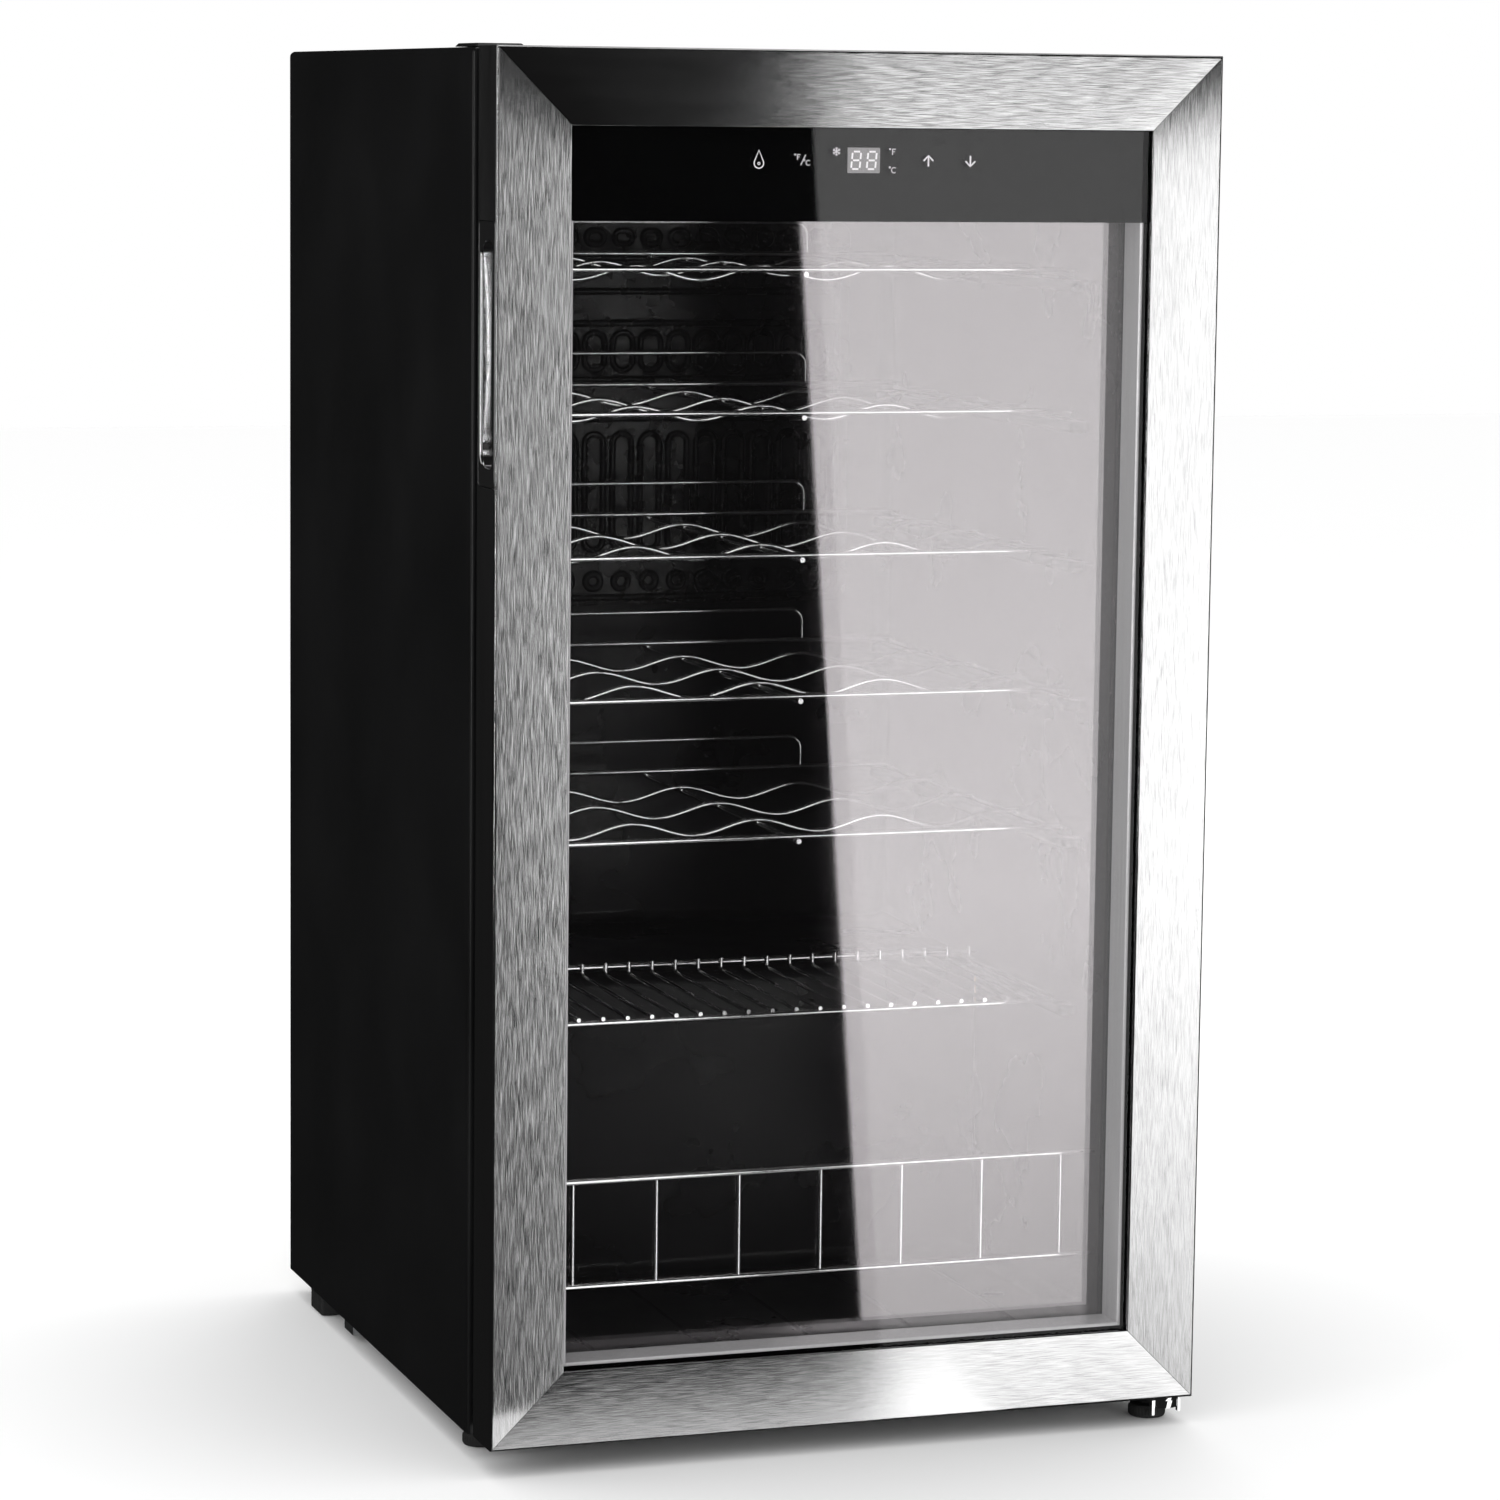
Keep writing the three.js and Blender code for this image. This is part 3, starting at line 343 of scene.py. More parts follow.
# ------------------------------------------------------------------ rear sheet and base plate
# Galvanised steel sheets: the rear one is pressed with shallow ribs and screwed on, the base plate
# carries the feet and the compressor. The zinc shows its crystals.
def galvanised_finish():
    zinc, tree, shader = material("galvanised", (0.36, 0.37, 0.38), 0.36, 1.0)
    where = tree.nodes.new("ShaderNodeTexCoord")
    crystals = tree.nodes.new("ShaderNodeTexVoronoi")
    crystals.inputs["Scale"].default_value = 210
    tree.links.new(where.outputs["Object"], crystals.inputs["Vector"])
    grey = tree.nodes.new("ShaderNodeSeparateColor")
    tree.links.new(crystals.outputs["Color"], grey.inputs["Color"])
    shade = grey.outputs["Red"]
    tinted(tree, shade, (0.38, 0.39, 0.4), (0.44, 0.45, 0.46), shader.inputs["Base Color"])
    ranged(tree, shade, 0.38, 0.46, shader.inputs["Roughness"])
    relief(tree, grain(tree, 700), 0.05, 0.4, shader.inputs["Normal"])
    return zinc


galvanised = galvanised_finish()


def softened(node, width, look, crease=30):
    """Keeps a node's own shape, with its edges rounded and its faces smooth, and gives it a finish."""
    kept = nodes[node]
    kept.material_slots[0].material = look
    weld = kept.modifiers.new("weld", "WELD")
    weld.merge_threshold = 0.01 * MM
    edges = kept.modifiers.new("edges", "BEVEL")
    edges.width = width
    edges.segments = 3
    edges.limit_method = "ANGLE"
    edges.angle_limit = radians(crease)
    edges.use_clamp_overlap = True
    kept.modifiers.new("smooth", "NODES").node_group = smooth_by_angle
    return flat_faced(kept)


def smooth_by_angle_group(degrees):
    group = bpy.data.node_groups.new("smooth_by_angle", "GeometryNodeTree")
    group.interface.new_socket("Geometry", in_out="INPUT", socket_type="NodeSocketGeometry")
    group.interface.new_socket("Geometry", in_out="OUTPUT", socket_type="NodeSocketGeometry")
    add, link = group.nodes.new, group.links.new
    taken, given = add("NodeGroupInput"), add("NodeGroupOutput")
    faces, edges = add("GeometryNodeSetShadeSmooth"), add("GeometryNodeSetShadeSmooth")
    faces.domain, edges.domain = "FACE", "EDGE"
    angle, sharp = add("GeometryNodeInputMeshEdgeAngle"), add("FunctionNodeCompare")
    sharp.operation = "GREATER_THAN"
    sharp.inputs["B"].default_value = radians(degrees)
    edges.inputs["Shade Smooth"].default_value = False
    link(angle.outputs["Unsigned Angle"], sharp.inputs["A"])
    link(sharp.outputs["Result"], edges.inputs["Selection"])
    link(taken.outputs[0], faces.inputs["Geometry"])
    link(faces.outputs["Geometry"], edges.inputs["Geometry"])
    link(edges.outputs["Geometry"], given.inputs[0])
    return group


smooth_by_angle = smooth_by_angle_group(40)
softened("base_plate", 0.25 * MM, galvanised)

panel_low, panel_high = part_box("back_panel")
RIB_RISE = 2.2 * MM
RIB_HALF = 13 * MM


def rib_height(x, z):
    """How far the rear sheet is pressed out at a place: five flat ribs that run out at their ends."""
    middle = (panel_low.z + panel_high.z) / 2
    half_tall = (panel_high.z - panel_low.z) / 2 - 45 * MM
    pitch = (panel_high.x - panel_low.x - 60 * MM) / 5
    across = abs((x + pitch / 2) % pitch - pitch / 2)
    past_end = max(abs(z - middle) - half_tall, 0)
    away = hypot(across, past_end) - RIB_HALF + 6 * MM
    return RIB_RISE * (0.5 - 0.5 * cos(pi * min(max(1 - away / (6 * MM), 0), 1)))


def rear_sheet():
    across, upwards = 150, 110
    bm = bmesh.new()
    rows = []
    for row in range(upwards + 1):
        z = panel_low.z + (panel_high.z - panel_low.z) * row / upwards
        xs = [panel_low.x + (panel_high.x - panel_low.x) * k / across for k in range(across + 1)]
        rows.append([bm.verts.new((x, panel_high.y - RIB_RISE + rib_height(x, z), z)) for x in xs])
    for one, two in zip(rows, rows[1:]):
        for k in range(across):
            bm.faces.new((one[k + 1], one[k], two[k], two[k + 1]))
    return piece_from(bm, "rear_sheet", galvanised, crease=60, sheet=0.7 * MM)


rear_panel = rear_sheet()
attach(rear_panel, "cabinet")
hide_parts("back_panel")


zinc_screws = finish("zinc_screws", (0.55, 0.55, 0.53), 0.25, 1.0, worn=(2500, 3, 0.2, 0.35))


def ring_about(centre, axis, radius, along, sides):
    """A ring of points round an axis, at a distance along it."""
    axis = Vector(axis).normalized()
    across = axis.orthogonal().normalized()
    upright = axis.cross(across)
    middle = Vector(centre) + axis * along
    turns = [2 * pi * k / sides for k in range(sides)]
    return [middle + (across * cos(t) + upright * sin(t)) * radius for t in turns]


def turned(bm, centre, axis, profile, sides=40):
    """A piece turned on a lathe: profile lists (radius, distance along the axis)."""
    skin(bm, [ring_about(centre, axis, max(radius, 0.02 * MM), along, sides) for radius, along in profile])


def upright_round(node):
    """The centre of an upright round node's foot, its radius and its height."""
    low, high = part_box(node)
    return Vector(((low.x + high.x) / 2, (low.y + high.y) / 2, low.z)), (high.x - low.x) / 2, high.z - low.z


def block(bm, low, high, edge, steps=3):
    """A box with every edge rounded, as a moulded or cast block has."""
    edge = min(edge, (high[0] - low[0]) / 2.05, (high[1] - low[1]) / 2.05, (high[2] - low[2]) / 2.05)
    up = [(edge - a, edge + b) for a, b in arc(0, 0, edge, 0, -90, steps)][::-1]
    levels = [(inset, low[2] + rise) for inset, rise in up]
    levels += [(inset, high[2] - rise) for inset, rise in up[::-1]]
    skin(bm, [
        [(x, y, z) for x, y in rounded(low[0] + inset, high[0] - inset, low[1] + inset, high[1] - inset,
                                       max(edge - inset, 0.01 * MM) + 0.3 * edge, steps)]
        for inset, z in levels
    ])


def rounded(a0, a1, b0, b1, radius, steps=6):
    """A rectangle with rounded corners, as (a, b) pairs."""
    return [
        *arc(a1 - radius, b0 + radius, radius, -90, 0, steps),
        *arc(a1 - radius, b1 - radius, radius, 0, 90, steps),
        *arc(a0 + radius, b1 - radius, radius, 90, 180, steps),
        *arc(a0 + radius, b0 + radius, radius, 180, 270, steps),
    ]


def screw(bm, centre, outwards, radius=3.2 * MM, rise=1.8 * MM):
    """A pan-head screw with a cross in its head."""
    dome = [(radius * cos(t), rise * (0.35 + 0.65 * sin(t))) for t in (0, 0.4, 0.8, 1.15)]
    hollow = [(0.42 * radius, rise), (0.25 * radius, 0.45 * rise)]
    turned(bm, centre, outwards, [(radius, 0), *dome, *hollow], 24)
    axis = Vector(outwards).normalized()
    one = axis.orthogonal().normalized()
    for side in (one, axis.cross(one)):
        other = axis.cross(side)
        top = Vector(centre) + axis * rise * 0.97
        corners = [
            top + side * (s * 0.55 * radius) + other * (o * 0.1 * radius)
            for s, o in ((-1, -1), (1, -1), (1, 1), (-1, 1))
        ]
        skin(bm, [corners, [corner + axis * 0.08 * MM for corner in corners]])


def rear_screws():
    bm = bmesh.new()
    side, end = 9 * MM, 14 * MM
    xs = [panel_low.x + side, 0, panel_high.x - side]
    rows = 4
    for row in range(rows):
        z = panel_low.z + end + (panel_high.z - panel_low.z - 2 * end) * row / (rows - 1)
        for x in xs[:: 1 if row in (0, rows - 1) else 2]:
            screw(bm, (x, panel_high.y - RIB_RISE, z), (0, 1, 0))
    return piece_from(bm, "rear_screws", zinc_screws)


panel_screws = rear_screws()
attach(panel_screws, "cabinet")


# ------------------------------------------------------------------ insulation and liner
# Polyurethane foam fills the walls. The liner is one sheet of black plastic drawn into a tub, with
# rounded corners, a step over the machine room, two ledges for each rack and grooves along its floor.
foam = nodes["foam_insulation"]
foam.material_slots[0].material = finish(
    "polyurethane_foam", (0.62, 0.50, 0.27), 0.95, tints=(400, 6, (0.55, 0.43, 0.21), (0.70, 0.59, 0.35)),
    bumps=(400, 6, 0.6, 0.8),
)
foam.modifiers.new("joined", "WELD").merge_threshold = 0.01 * MM
shrunk = foam.modifiers.new("shrunk", "DISPLACE")
shrunk.mid_level = 0
shrunk.strength = -5 * MM


liner_plastic = finish("liner_plastic", (0.004, 0.004, 0.0044), 0.3,
                       worn=(14, 4, 0.24, 0.36), bumps=(900, 2, 0.05, 0.5))
LINER_WALL = 1.5 * MM
LINER_CORNER = 10 * MM
MOUTH_ROUND = 3 * MM
FLANGE_INSET = 9 * MM
STEP_DEPTH, STEP_HEIGHT = 183 * MM, 196 * MM
LEDGE_REACH, LEDGE_DEEP = 9.5 * MM, 7 * MM
GROOVE_PITCH, GROOVE_RADIUS, GROOVE_SUNK = 68 * MM, 2.6 * MM, 1.2 * MM
liner_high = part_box("inner_liner")[1]
fence_low, fence_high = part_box("bottle_fence")
tub_half = fence_high.x + 0.3 * MM
tub_floor = fence_low.z - 43 * MM
tub_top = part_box("lamp_housing")[1].z + 0.3 * MM
tub_back = liner_high.y - LINER_WALL
step_front = tub_back - STEP_DEPTH
step_top = tub_floor + STEP_HEIGHT
rack_boxes = {f"rack_{k}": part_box(f"wave_rack_{k}") for k in range(1, 6)}
shelf_low, shelf_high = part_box("flat_shelf")


def room_inside(mouth):
    """The room inside the tub as a solid, with rounded corners and the step over the machine room."""
    side_view = [
        (mouth, tub_floor), (step_front, tub_floor), (step_front, step_top),
        (tub_back, step_top), (tub_back, tub_top), (mouth, tub_top),
    ]
    bm = bmesh.new()
    skin(bm, [[(x, y, z) for y, z in side_view] for x in (-tub_half, tub_half)])
    inside = [e for e in bm.edges if sum(abs(v.co.y - mouth) < 1e-6 for v in e.verts) < 2]
    bmesh.ops.bevel(bm, geom=inside, offset=LINER_CORNER, segments=6, profile=0.5, affect="EDGES",
                    clamp_overlap=True)
    return bm


def ledge_blocks():
    bm = bmesh.new()
    front = min(low.y for low, high in rack_boxes.values()) - 7 * MM
    ledges = [(high.z - 8.4 * MM, tub_back) for low, high in rack_boxes.values()]
    ledges.append((shelf_low.z - 0.3 * MM, step_front))
    for top, back in ledges:
        for side in (-1, 1):
            inner = side * (tub_half - LEDGE_REACH)
            outer = side * (tub_half + 5 * MM)
            block(bm, (min(inner, outer), front, top - LEDGE_DEEP), (max(inner, outer), back + 5 * MM, top),
                  2.4 * MM)
    return bm


def floor_grooves():
    groove_centre = tub_floor + GROOVE_RADIUS - GROOVE_SUNK
    bm = bmesh.new()
    for k in range(-2, 3):
        x = k * GROOVE_PITCH
        start, end = cabinet_front + 30 * MM, step_front - 16 * MM
        bulge = [(GROOVE_RADIUS * f, GROOVE_RADIUS * g) for f, g in ((0.3, 0), (0.8, 0.4), (1, 1))]
        profile = bulge + [(radius, end - start - along) for radius, along in bulge[::-1]]
        turned(bm, (x, start, groove_centre), (0, 1, 0), profile, 14)
    return bm


def carved(made, *cuts):
    """Joins or cuts other solids into a piece, and uses them up."""
    for how, tool in cuts:
        step = made.modifiers.new("carve", "BOOLEAN")
        step.operation = how
        step.object = tool
        step.solver = "EXACT"
    bpy.context.view_layer.update()
    seen = made.evaluated_get(bpy.context.evaluated_depsgraph_get())
    mesh = bpy.data.meshes.new_from_object(seen)
    made.modifiers.clear()
    made.data = mesh
    for how, tool in cuts:
        bpy.data.objects.remove(tool)
    return flat_faced(made)


def moulded_liner():
    mouth = cabinet_front + MOUTH_ROUND
    room = carved(
        solid_of(room_inside(mouth), "room"),
        ("UNION", solid_of(floor_grooves(), "grooves")),
        ("DIFFERENCE", solid_of(ledge_blocks(), "ledges")),
    )
    bm = bmesh.new()
    bm.from_mesh(room.data)
    bpy.data.objects.remove(room)
    front_face = [f for f in bm.faces if all(abs(v.co.y - mouth) < 1e-5 for v in f.verts)]
    bmesh.ops.delete(bm, geom=front_face, context="FACES")
    return piece_from(bm, "moulded_liner", liner_plastic, sheet=LINER_WALL, turned_in=True)


def liner_flange():
    """The rounded lip of the tub's mouth and the flat flange that the door's seal closes on."""
    reach = cabinet_half - FLANGE_INSET - tub_half
    section = arc(MOUTH_ROUND, cabinet_front + MOUTH_ROUND, MOUTH_ROUND, 180, 270, 6)
    section += [
        (reach, cabinet_front), (reach, cabinet_front + LINER_WALL),
        (MOUTH_ROUND, cabinet_front + LINER_WALL), (LINER_WALL, cabinet_front + MOUTH_ROUND),
    ]
    top_reach, low_reach = cabinet_top - FLANGE_INSET - tub_top, tub_floor - cabinet_foot - FLANGE_INSET
    bm = bmesh.new()
    rings = []
    for out, y in section:
        share = out / reach
        grown = LINER_CORNER + out if out < reach else 4 * MM
        outline = rounded(-tub_half - out, tub_half + out, tub_floor - low_reach * share,
                          tub_top + top_reach * share, grown)
        rings.append([(x, y, z) for x, z in outline])
    skin(bm, rings, joined=True)
    return piece_from(bm, "liner_flange", liner_plastic)


tub, flange = moulded_liner(), liner_flange()
for made in (tub, flange):
    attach(made, "cabinet")
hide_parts("inner_liner")


# ------------------------------------------------------------------ evaporator
# Two sheets of aluminium bonded together, with the refrigerant's channels blown up between them, and
# lacquered black. It stands on four studs in front of the liner's back wall.
black_lacquer = finish("black_lacquer", (0.006, 0.006, 0.0064), 0.26, Coat_Weight=0.08,
                       worn=(60, 4, 0.2, 0.34), bumps=(500, 3, 0.06, 0.5))
plate_low, plate_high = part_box("evaporator_plate")
CHANNEL_RADIUS = 2.6 * MM
CHANNEL_SUNK = 0.9 * MM
COLUMNS, COLUMN_PITCH = 14, 19.4 * MM
LOOPS = ((6, 15, 6), (7, 98, 73), (6.5, 217, 140), (5, 243, 233))  # half width, drops of foot and head
CROSS_DROPS = (46, 67, 104, 130)
STUD_INSET = 18 * MM


def wires(name, look, smoothness=4):
    """An empty set of round wires, each drawn at its own radius."""
    curve = bpy.data.curves.new(name, "CURVE")
    curve.dimensions = "3D"
    curve.bevel_depth = MM
    curve.bevel_resolution = smoothness
    curve.use_fill_caps = True
    curve.materials.append(look)
    made = bpy.data.objects.new(name, curve)
    scene.collection.objects.link(made)
    return made


def run(made, points, radius, closed=False):
    """Adds one wire along its points."""
    spline = made.data.splines.new("POLY")
    spline.points.add(len(points) - 1)
    for knot, point in zip(spline.points, points):
        knot.co = (*point, 1)
        knot.radius = radius / MM
    spline.use_cyclic_u = closed
    spline.use_smooth = True


def rolled_channels():
    """Columns of loops and rings, crossed by straight channels, with one channel round them all."""
    made = wires("evaporator_channels", black_lacquer, 3)
    y = plate_low.y + CHANNEL_SUNK
    top = plate_high.z
    for column in range(COLUMNS):
        x = (column - (COLUMNS - 1) / 2) * COLUMN_PITCH
        for sizes in LOOPS:
            half, foot, head = (size * MM for size in sizes)
            corner = min(half, (foot - head) / 2) * 0.98
            outline = rounded(x - half, x + half, top - foot, top - head, corner)
            run(made, [(a, y, b) for a, b in outline], CHANNEL_RADIUS, closed=True)
    side = plate_high.x - 9 * MM
    for drop in CROSS_DROPS:
        z = top - drop * MM
        run(made, [(-side, y, z), (side, y, z)], CHANNEL_RADIUS)
    edge = rounded(-side, side, plate_low.z + 5 * MM, top - 24 * MM, 8 * MM)
    run(made, [(a, y, b) for a, b in edge], CHANNEL_RADIUS, closed=True)
    return made


def upright_slab(bm, low, high, edge, corner, steps=6):
    """A plate across the cabinet, with rounded corners and its edges taken off."""
    rings = []
    for inset, y in ((edge, low.y), (0, low.y + edge), (0, high.y - edge), (edge, high.y)):
        outline = rounded(low.x + inset, high.x - inset, low.z + inset, high.z - inset, corner, steps)
        rings.append([(x, y, z) for x, z in outline])
    skin(bm, rings)


def evaporator_sheet():
    bm = bmesh.new()
    sheet_high = Vector((plate_high.x, plate_low.y + 1.5 * MM, plate_high.z))
    upright_slab(bm, plate_low, sheet_high, 0.4 * MM, 10 * MM)
    for x in (plate_low.x + STUD_INSET, plate_high.x - STUD_INSET):
        for z in (plate_low.z + STUD_INSET, plate_high.z - STUD_INSET):
            turned(bm, (x, plate_high.y, z), (0, -1, 0), [(4 * MM, 0), (4 * MM, 2 * MM)], 20)
            screw(bm, (x, plate_low.y, z), (0, -1, 0))
    return piece_from(bm, "evaporator_sheet", black_lacquer)


evaporator, channels = evaporator_sheet(), rolled_channels()
for made in (evaporator, channels):
    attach(made, "cabinet")
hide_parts("evaporator_plate")


# ------------------------------------------------------------------ lamp and sensor
# A moulded lamp holder under the ceiling with a frosted, ribbed lens, and a slotted cover over the
# thermistor on the left wall.
black_plastic = finish("black_plastic", (0.008, 0.008, 0.0085), 0.42,
                       worn=(30, 4, 0.36, 0.5), bumps=(1300, 2, 0.05, 0.6))
frosted_plastic = finish("frosted_plastic", (0.62, 0.63, 0.64), 0.4,
                         worn=(40, 3, 0.3, 0.5), bumps=(1500, 3, 0.05, 0.5))


def lamp_cover():
    low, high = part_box("lamp_lens")
    bm = bmesh.new()
    block(bm, low + Vector((0, 0, 0.8 * MM)), high, 1.2 * MM)
    ribs = 24
    for k in range(ribs):
        x = low.x + (high.x - low.x) * (k + 0.5) / ribs
        block(bm, (x - 1.2 * MM, low.y + 1.5 * MM, low.z), (x + 1.2 * MM, high.y - 1.5 * MM, low.z + 2 * MM),
              0.8 * MM, 2)
    return piece_from(bm, "lamp_cover", frosted_plastic)


def sensor_cover():
    low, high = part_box("temperature_sensor")
    bm = bmesh.new()
    block(bm, low, high - Vector((1 * MM, 0, 0)), 2 * MM)
    slots = 6
    for k in range(slots):
        z = low.z + (high.z - low.z) * (k + 0.5) / slots
        block(bm, (high.x - 2 * MM, low.y + 3 * MM, z - MM), (high.x, high.y - 3 * MM, z + MM), 0.6 * MM, 2)
    return piece_from(bm, "sensor_cover", black_plastic)


lens, sensor = lamp_cover(), sensor_cover()
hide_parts("lamp_lens")
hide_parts("temperature_sensor")
for made in (lens, sensor):
    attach(made, "cabinet")
softened("lamp_housing", 1.5 * MM, black_plastic)


# ------------------------------------------------------------------ wave racks
# Bright chromed steel wire. Two rails stand on three rods, and three wires run over the rods in waves
# that cradle the bottles' necks. A bent wire welded on the rear rail keeps the bottles off the back.
chrome = finish("chrome", (0.93, 0.93, 0.94), 0.09, 1.0, worn=(220, 4, 0.05, 0.11),
                tints=(35, 3, (0.9, 0.9, 0.905), (0.95, 0.95, 0.955)))
RAIL, ROD, WAVE = 1.8 * MM, 1.6 * MM, 1.4 * MM
SINK = 0.4 * MM
WAVE_PITCH, WAVE_HEIGHT = 81.3 * MM, 8.5 * MM
WAVE_FLAT = 7.5 * MM
STOP_CORNER = 8 * MM
STEPS_A_WAVE = 16


def wave_wire(made, y, half, level):
    """One wire across the rack: flat over each ledge, and full waves between."""
    flat = half - WAVE_FLAT
    steps = round(2 * flat / WAVE_PITCH * STEPS_A_WAVE)
    points = [(-half, y, level)]
    for k in range(steps + 1):
        x = -flat + 2 * flat * k / steps
        ease = min((flat - abs(x)) / (4 * MM), 1)
        fall = WAVE_HEIGHT / 2 * (1 - cos(2 * pi * x / WAVE_PITCH)) * ease
        points.append((x, y, level - fall))
    points.append((half, y, level))
    run(made, points, WAVE)


def wave_rack(number, low, high):
    made = wires(f"chromed_wave_rack_{number}", chrome)
    rail_z = high.z - RAIL
    rod_z = rail_z - RAIL - ROD + SINK
    front, rear = low.y + 2.5 * MM, high.y - 2.5 * MM
    half = high.x
    rod_x = half - ROD - 0.5 * MM
    for y in (front, rear):
        run(made, [(-half, y, rail_z), (half, y, rail_z)], RAIL)
    for x in (-rod_x, 0, rod_x):
        run(made, [(x, low.y, rod_z), (x, high.y, rod_z)], ROD)
    for share in (0.25, 0.5, 0.75):
        wave_wire(made, front + (rear - front) * share, rod_x + MM, rod_z + ROD + WAVE - SINK)
    stop_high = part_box(f"rack_stop_{number}")[1]
    side, top = stop_high.x - WAVE, stop_high.z - WAVE
    right = [(side, rail_z), *arc(side - STOP_CORNER, top - STOP_CORNER, STOP_CORNER, 0, 90, 6)]
    run(made, [(x, rear, z) for x, z in right] + [(-x, rear, z) for x, z in right[::-1]], WAVE)
    return made


for number in range(1, 6):
    rack = wave_rack(number, *rack_boxes[f"rack_{number}"])
    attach(rack, f"rack_{number}")
    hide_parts(f"wave_rack_{number}", f"rack_stop_{number}")


# ------------------------------------------------------------------ flat shelf and bottle fence
# The shelf is a row of wires welded on two rails, level with the step, with short ends turned up at
# the rear. The fence across the floor bay is two rods and seven thin uprights.
SHELF_WIRE = 1.3 * MM
SHELF_WIRES = 23
FENCE_ROD, FENCE_UPRIGHT = 2.0 * MM, 1.5 * MM


def flat_shelf():
    made = wires("chromed_flat_shelf", chrome)
    half, front = shelf_high.x, shelf_low.y + 2 * MM
    rail_z = shelf_low.z + RAIL
    wire_z = rail_z + RAIL + SHELF_WIRE - SINK
    rear_rail = step_front - 6.4 * MM
    turn_y = rear_rail - RAIL - SHELF_WIRE + SINK
    run(made, [(-half, front, rail_z), (half, front, rail_z)], RAIL)
    run(made, [(-half, rear_rail, wire_z + 5 * MM), (half, rear_rail, wire_z + 5 * MM)], RAIL)
    bend = 2.5 * MM
    turn = arc(turn_y - bend, wire_z + bend, bend, -90, 0, 5)
    for k in range(SHELF_WIRES):
        x = (half - 6.6 * MM) * (2 * k / (SHELF_WIRES - 1) - 1)
        run(made, [(x, shelf_low.y, wire_z)] + [(x, y, z) for y, z in turn] + [(x, turn_y, shelf_high.z)],
            SHELF_WIRE)
    return made


def fence():
    made = wires("chromed_fence", chrome)
    y = (fence_low.y + fence_high.y) / 2
    for z in (fence_low.z + FENCE_ROD, fence_high.z - FENCE_ROD):
        run(made, [(fence_low.x, y, z), (fence_high.x, y, z)], FENCE_ROD)
    pitch = (tub_half - 24 * MM) / 3
    for k in range(-3, 4):
        run(made, [(k * pitch, y, fence_low.z + MM), (k * pitch, y, fence_high.z - MM)], FENCE_UPRIGHT)
    return made


shelf, bay_fence = flat_shelf(), fence()
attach(shelf, "shelf")
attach(bay_fence, "cabinet")
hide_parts("flat_shelf")
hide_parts("bottle_fence")

# A soft box that only the wire ware sees, so that the black room and the glass stay dark.
wire_light = soft_box("wire_light", (0.22, -2.5, 0.1), (0.22, 0, 0.1), 1.05, 3.0, 3.0)
wire_ware = bpy.data.collections.new("wire_ware")
for made in scene.objects:
    if made.name.startswith("chromed_"):
        wire_ware.objects.link(made)
wire_light.light_linking.receiver_collection = wire_ware


# ------------------------------------------------------------------ feet, hinges and blank cap
# Rubber blocks at the rear and two turned levelling feet at the front, the right one screwed through
# the lower hinge plate. Pressed steel hinge plates hold the door's pins, the lower one chromed. A
# moulded cap closes the spare hinge place at the top left.
rubber = finish("rubber", (0.016, 0.016, 0.016), 0.72, worn=(120, 5, 0.62, 0.82), bumps=(1600, 3, 0.08, 0.7))
KNURLS = 36


def levelling_foot(side):
    """A turned foot with a knurled rim on a steel stem."""
    centre, radius, tall = upright_round(f"front_foot_{side}")
    bm = bmesh.new()
    turned(bm, centre, (0, 0, 1), [
        (radius - 2 * MM, 0), (radius - 0.8 * MM, 0.3 * MM), (radius - 0.2 * MM, 1.2 * MM),
        (radius - 0.5 * MM, 6 * MM), (radius - 1.2 * MM, 7.4 * MM), (radius - 2.4 * MM, 8 * MM),
        (4.5 * MM, 8 * MM), (4.2 * MM, 9.5 * MM), (3 * MM, 9.6 * MM), (3 * MM, tall),
    ], 48)
    ridge = [(0.3 * MM, 0), (0.5 * MM, 0.5 * MM), (0.5 * MM, 4 * MM), (0.3 * MM, 4.6 * MM)]
    for place in ring_about(centre, (0, 0, 1), radius - 0.5 * MM, 1.6 * MM, KNURLS):
        turned(bm, place, (0, 0, 1), ridge, 8)
    return piece_from(bm, f"levelling_foot_{side}", rubber)


for side in ("left", "right"):
    foot = levelling_foot(side)
    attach(foot, f"foot_{side}")
    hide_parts(f"front_foot_{side}")
    softened(f"rear_foot_{side}", 1.8 * MM, rubber)

softened("upper_hinge_plate", 0.8 * MM, galvanised)
softened("lower_hinge_bracket", 0.7 * MM, chrome)


def blank_cap():
    low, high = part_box("hinge_blank_cap")
    slope, corner = 3 * MM, 2.5 * MM
    levels = [
        (0, low.z), (0, low.z + 0.3 * MM), (slope * 0.72, high.z - 0.35 * MM),
        (slope * 0.9, high.z - 0.1 * MM), (slope * 1.15, high.z),
    ]
    rings = []
    for inset, z in levels:
        end = inset * 0.4
        outline = rounded(low.x + end, high.x - end, low.y + inset, high.y - inset, corner)
        rings.append([(x, y, z) for x, y in outline])
    bm = bmesh.new()
    skin(bm, rings)
    return piece_from(bm, "hinge_cover_cap", black_plastic, crease=50)


spare_cap = blank_cap()
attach(spare_cap, "cabinet")
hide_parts("hinge_blank_cap")


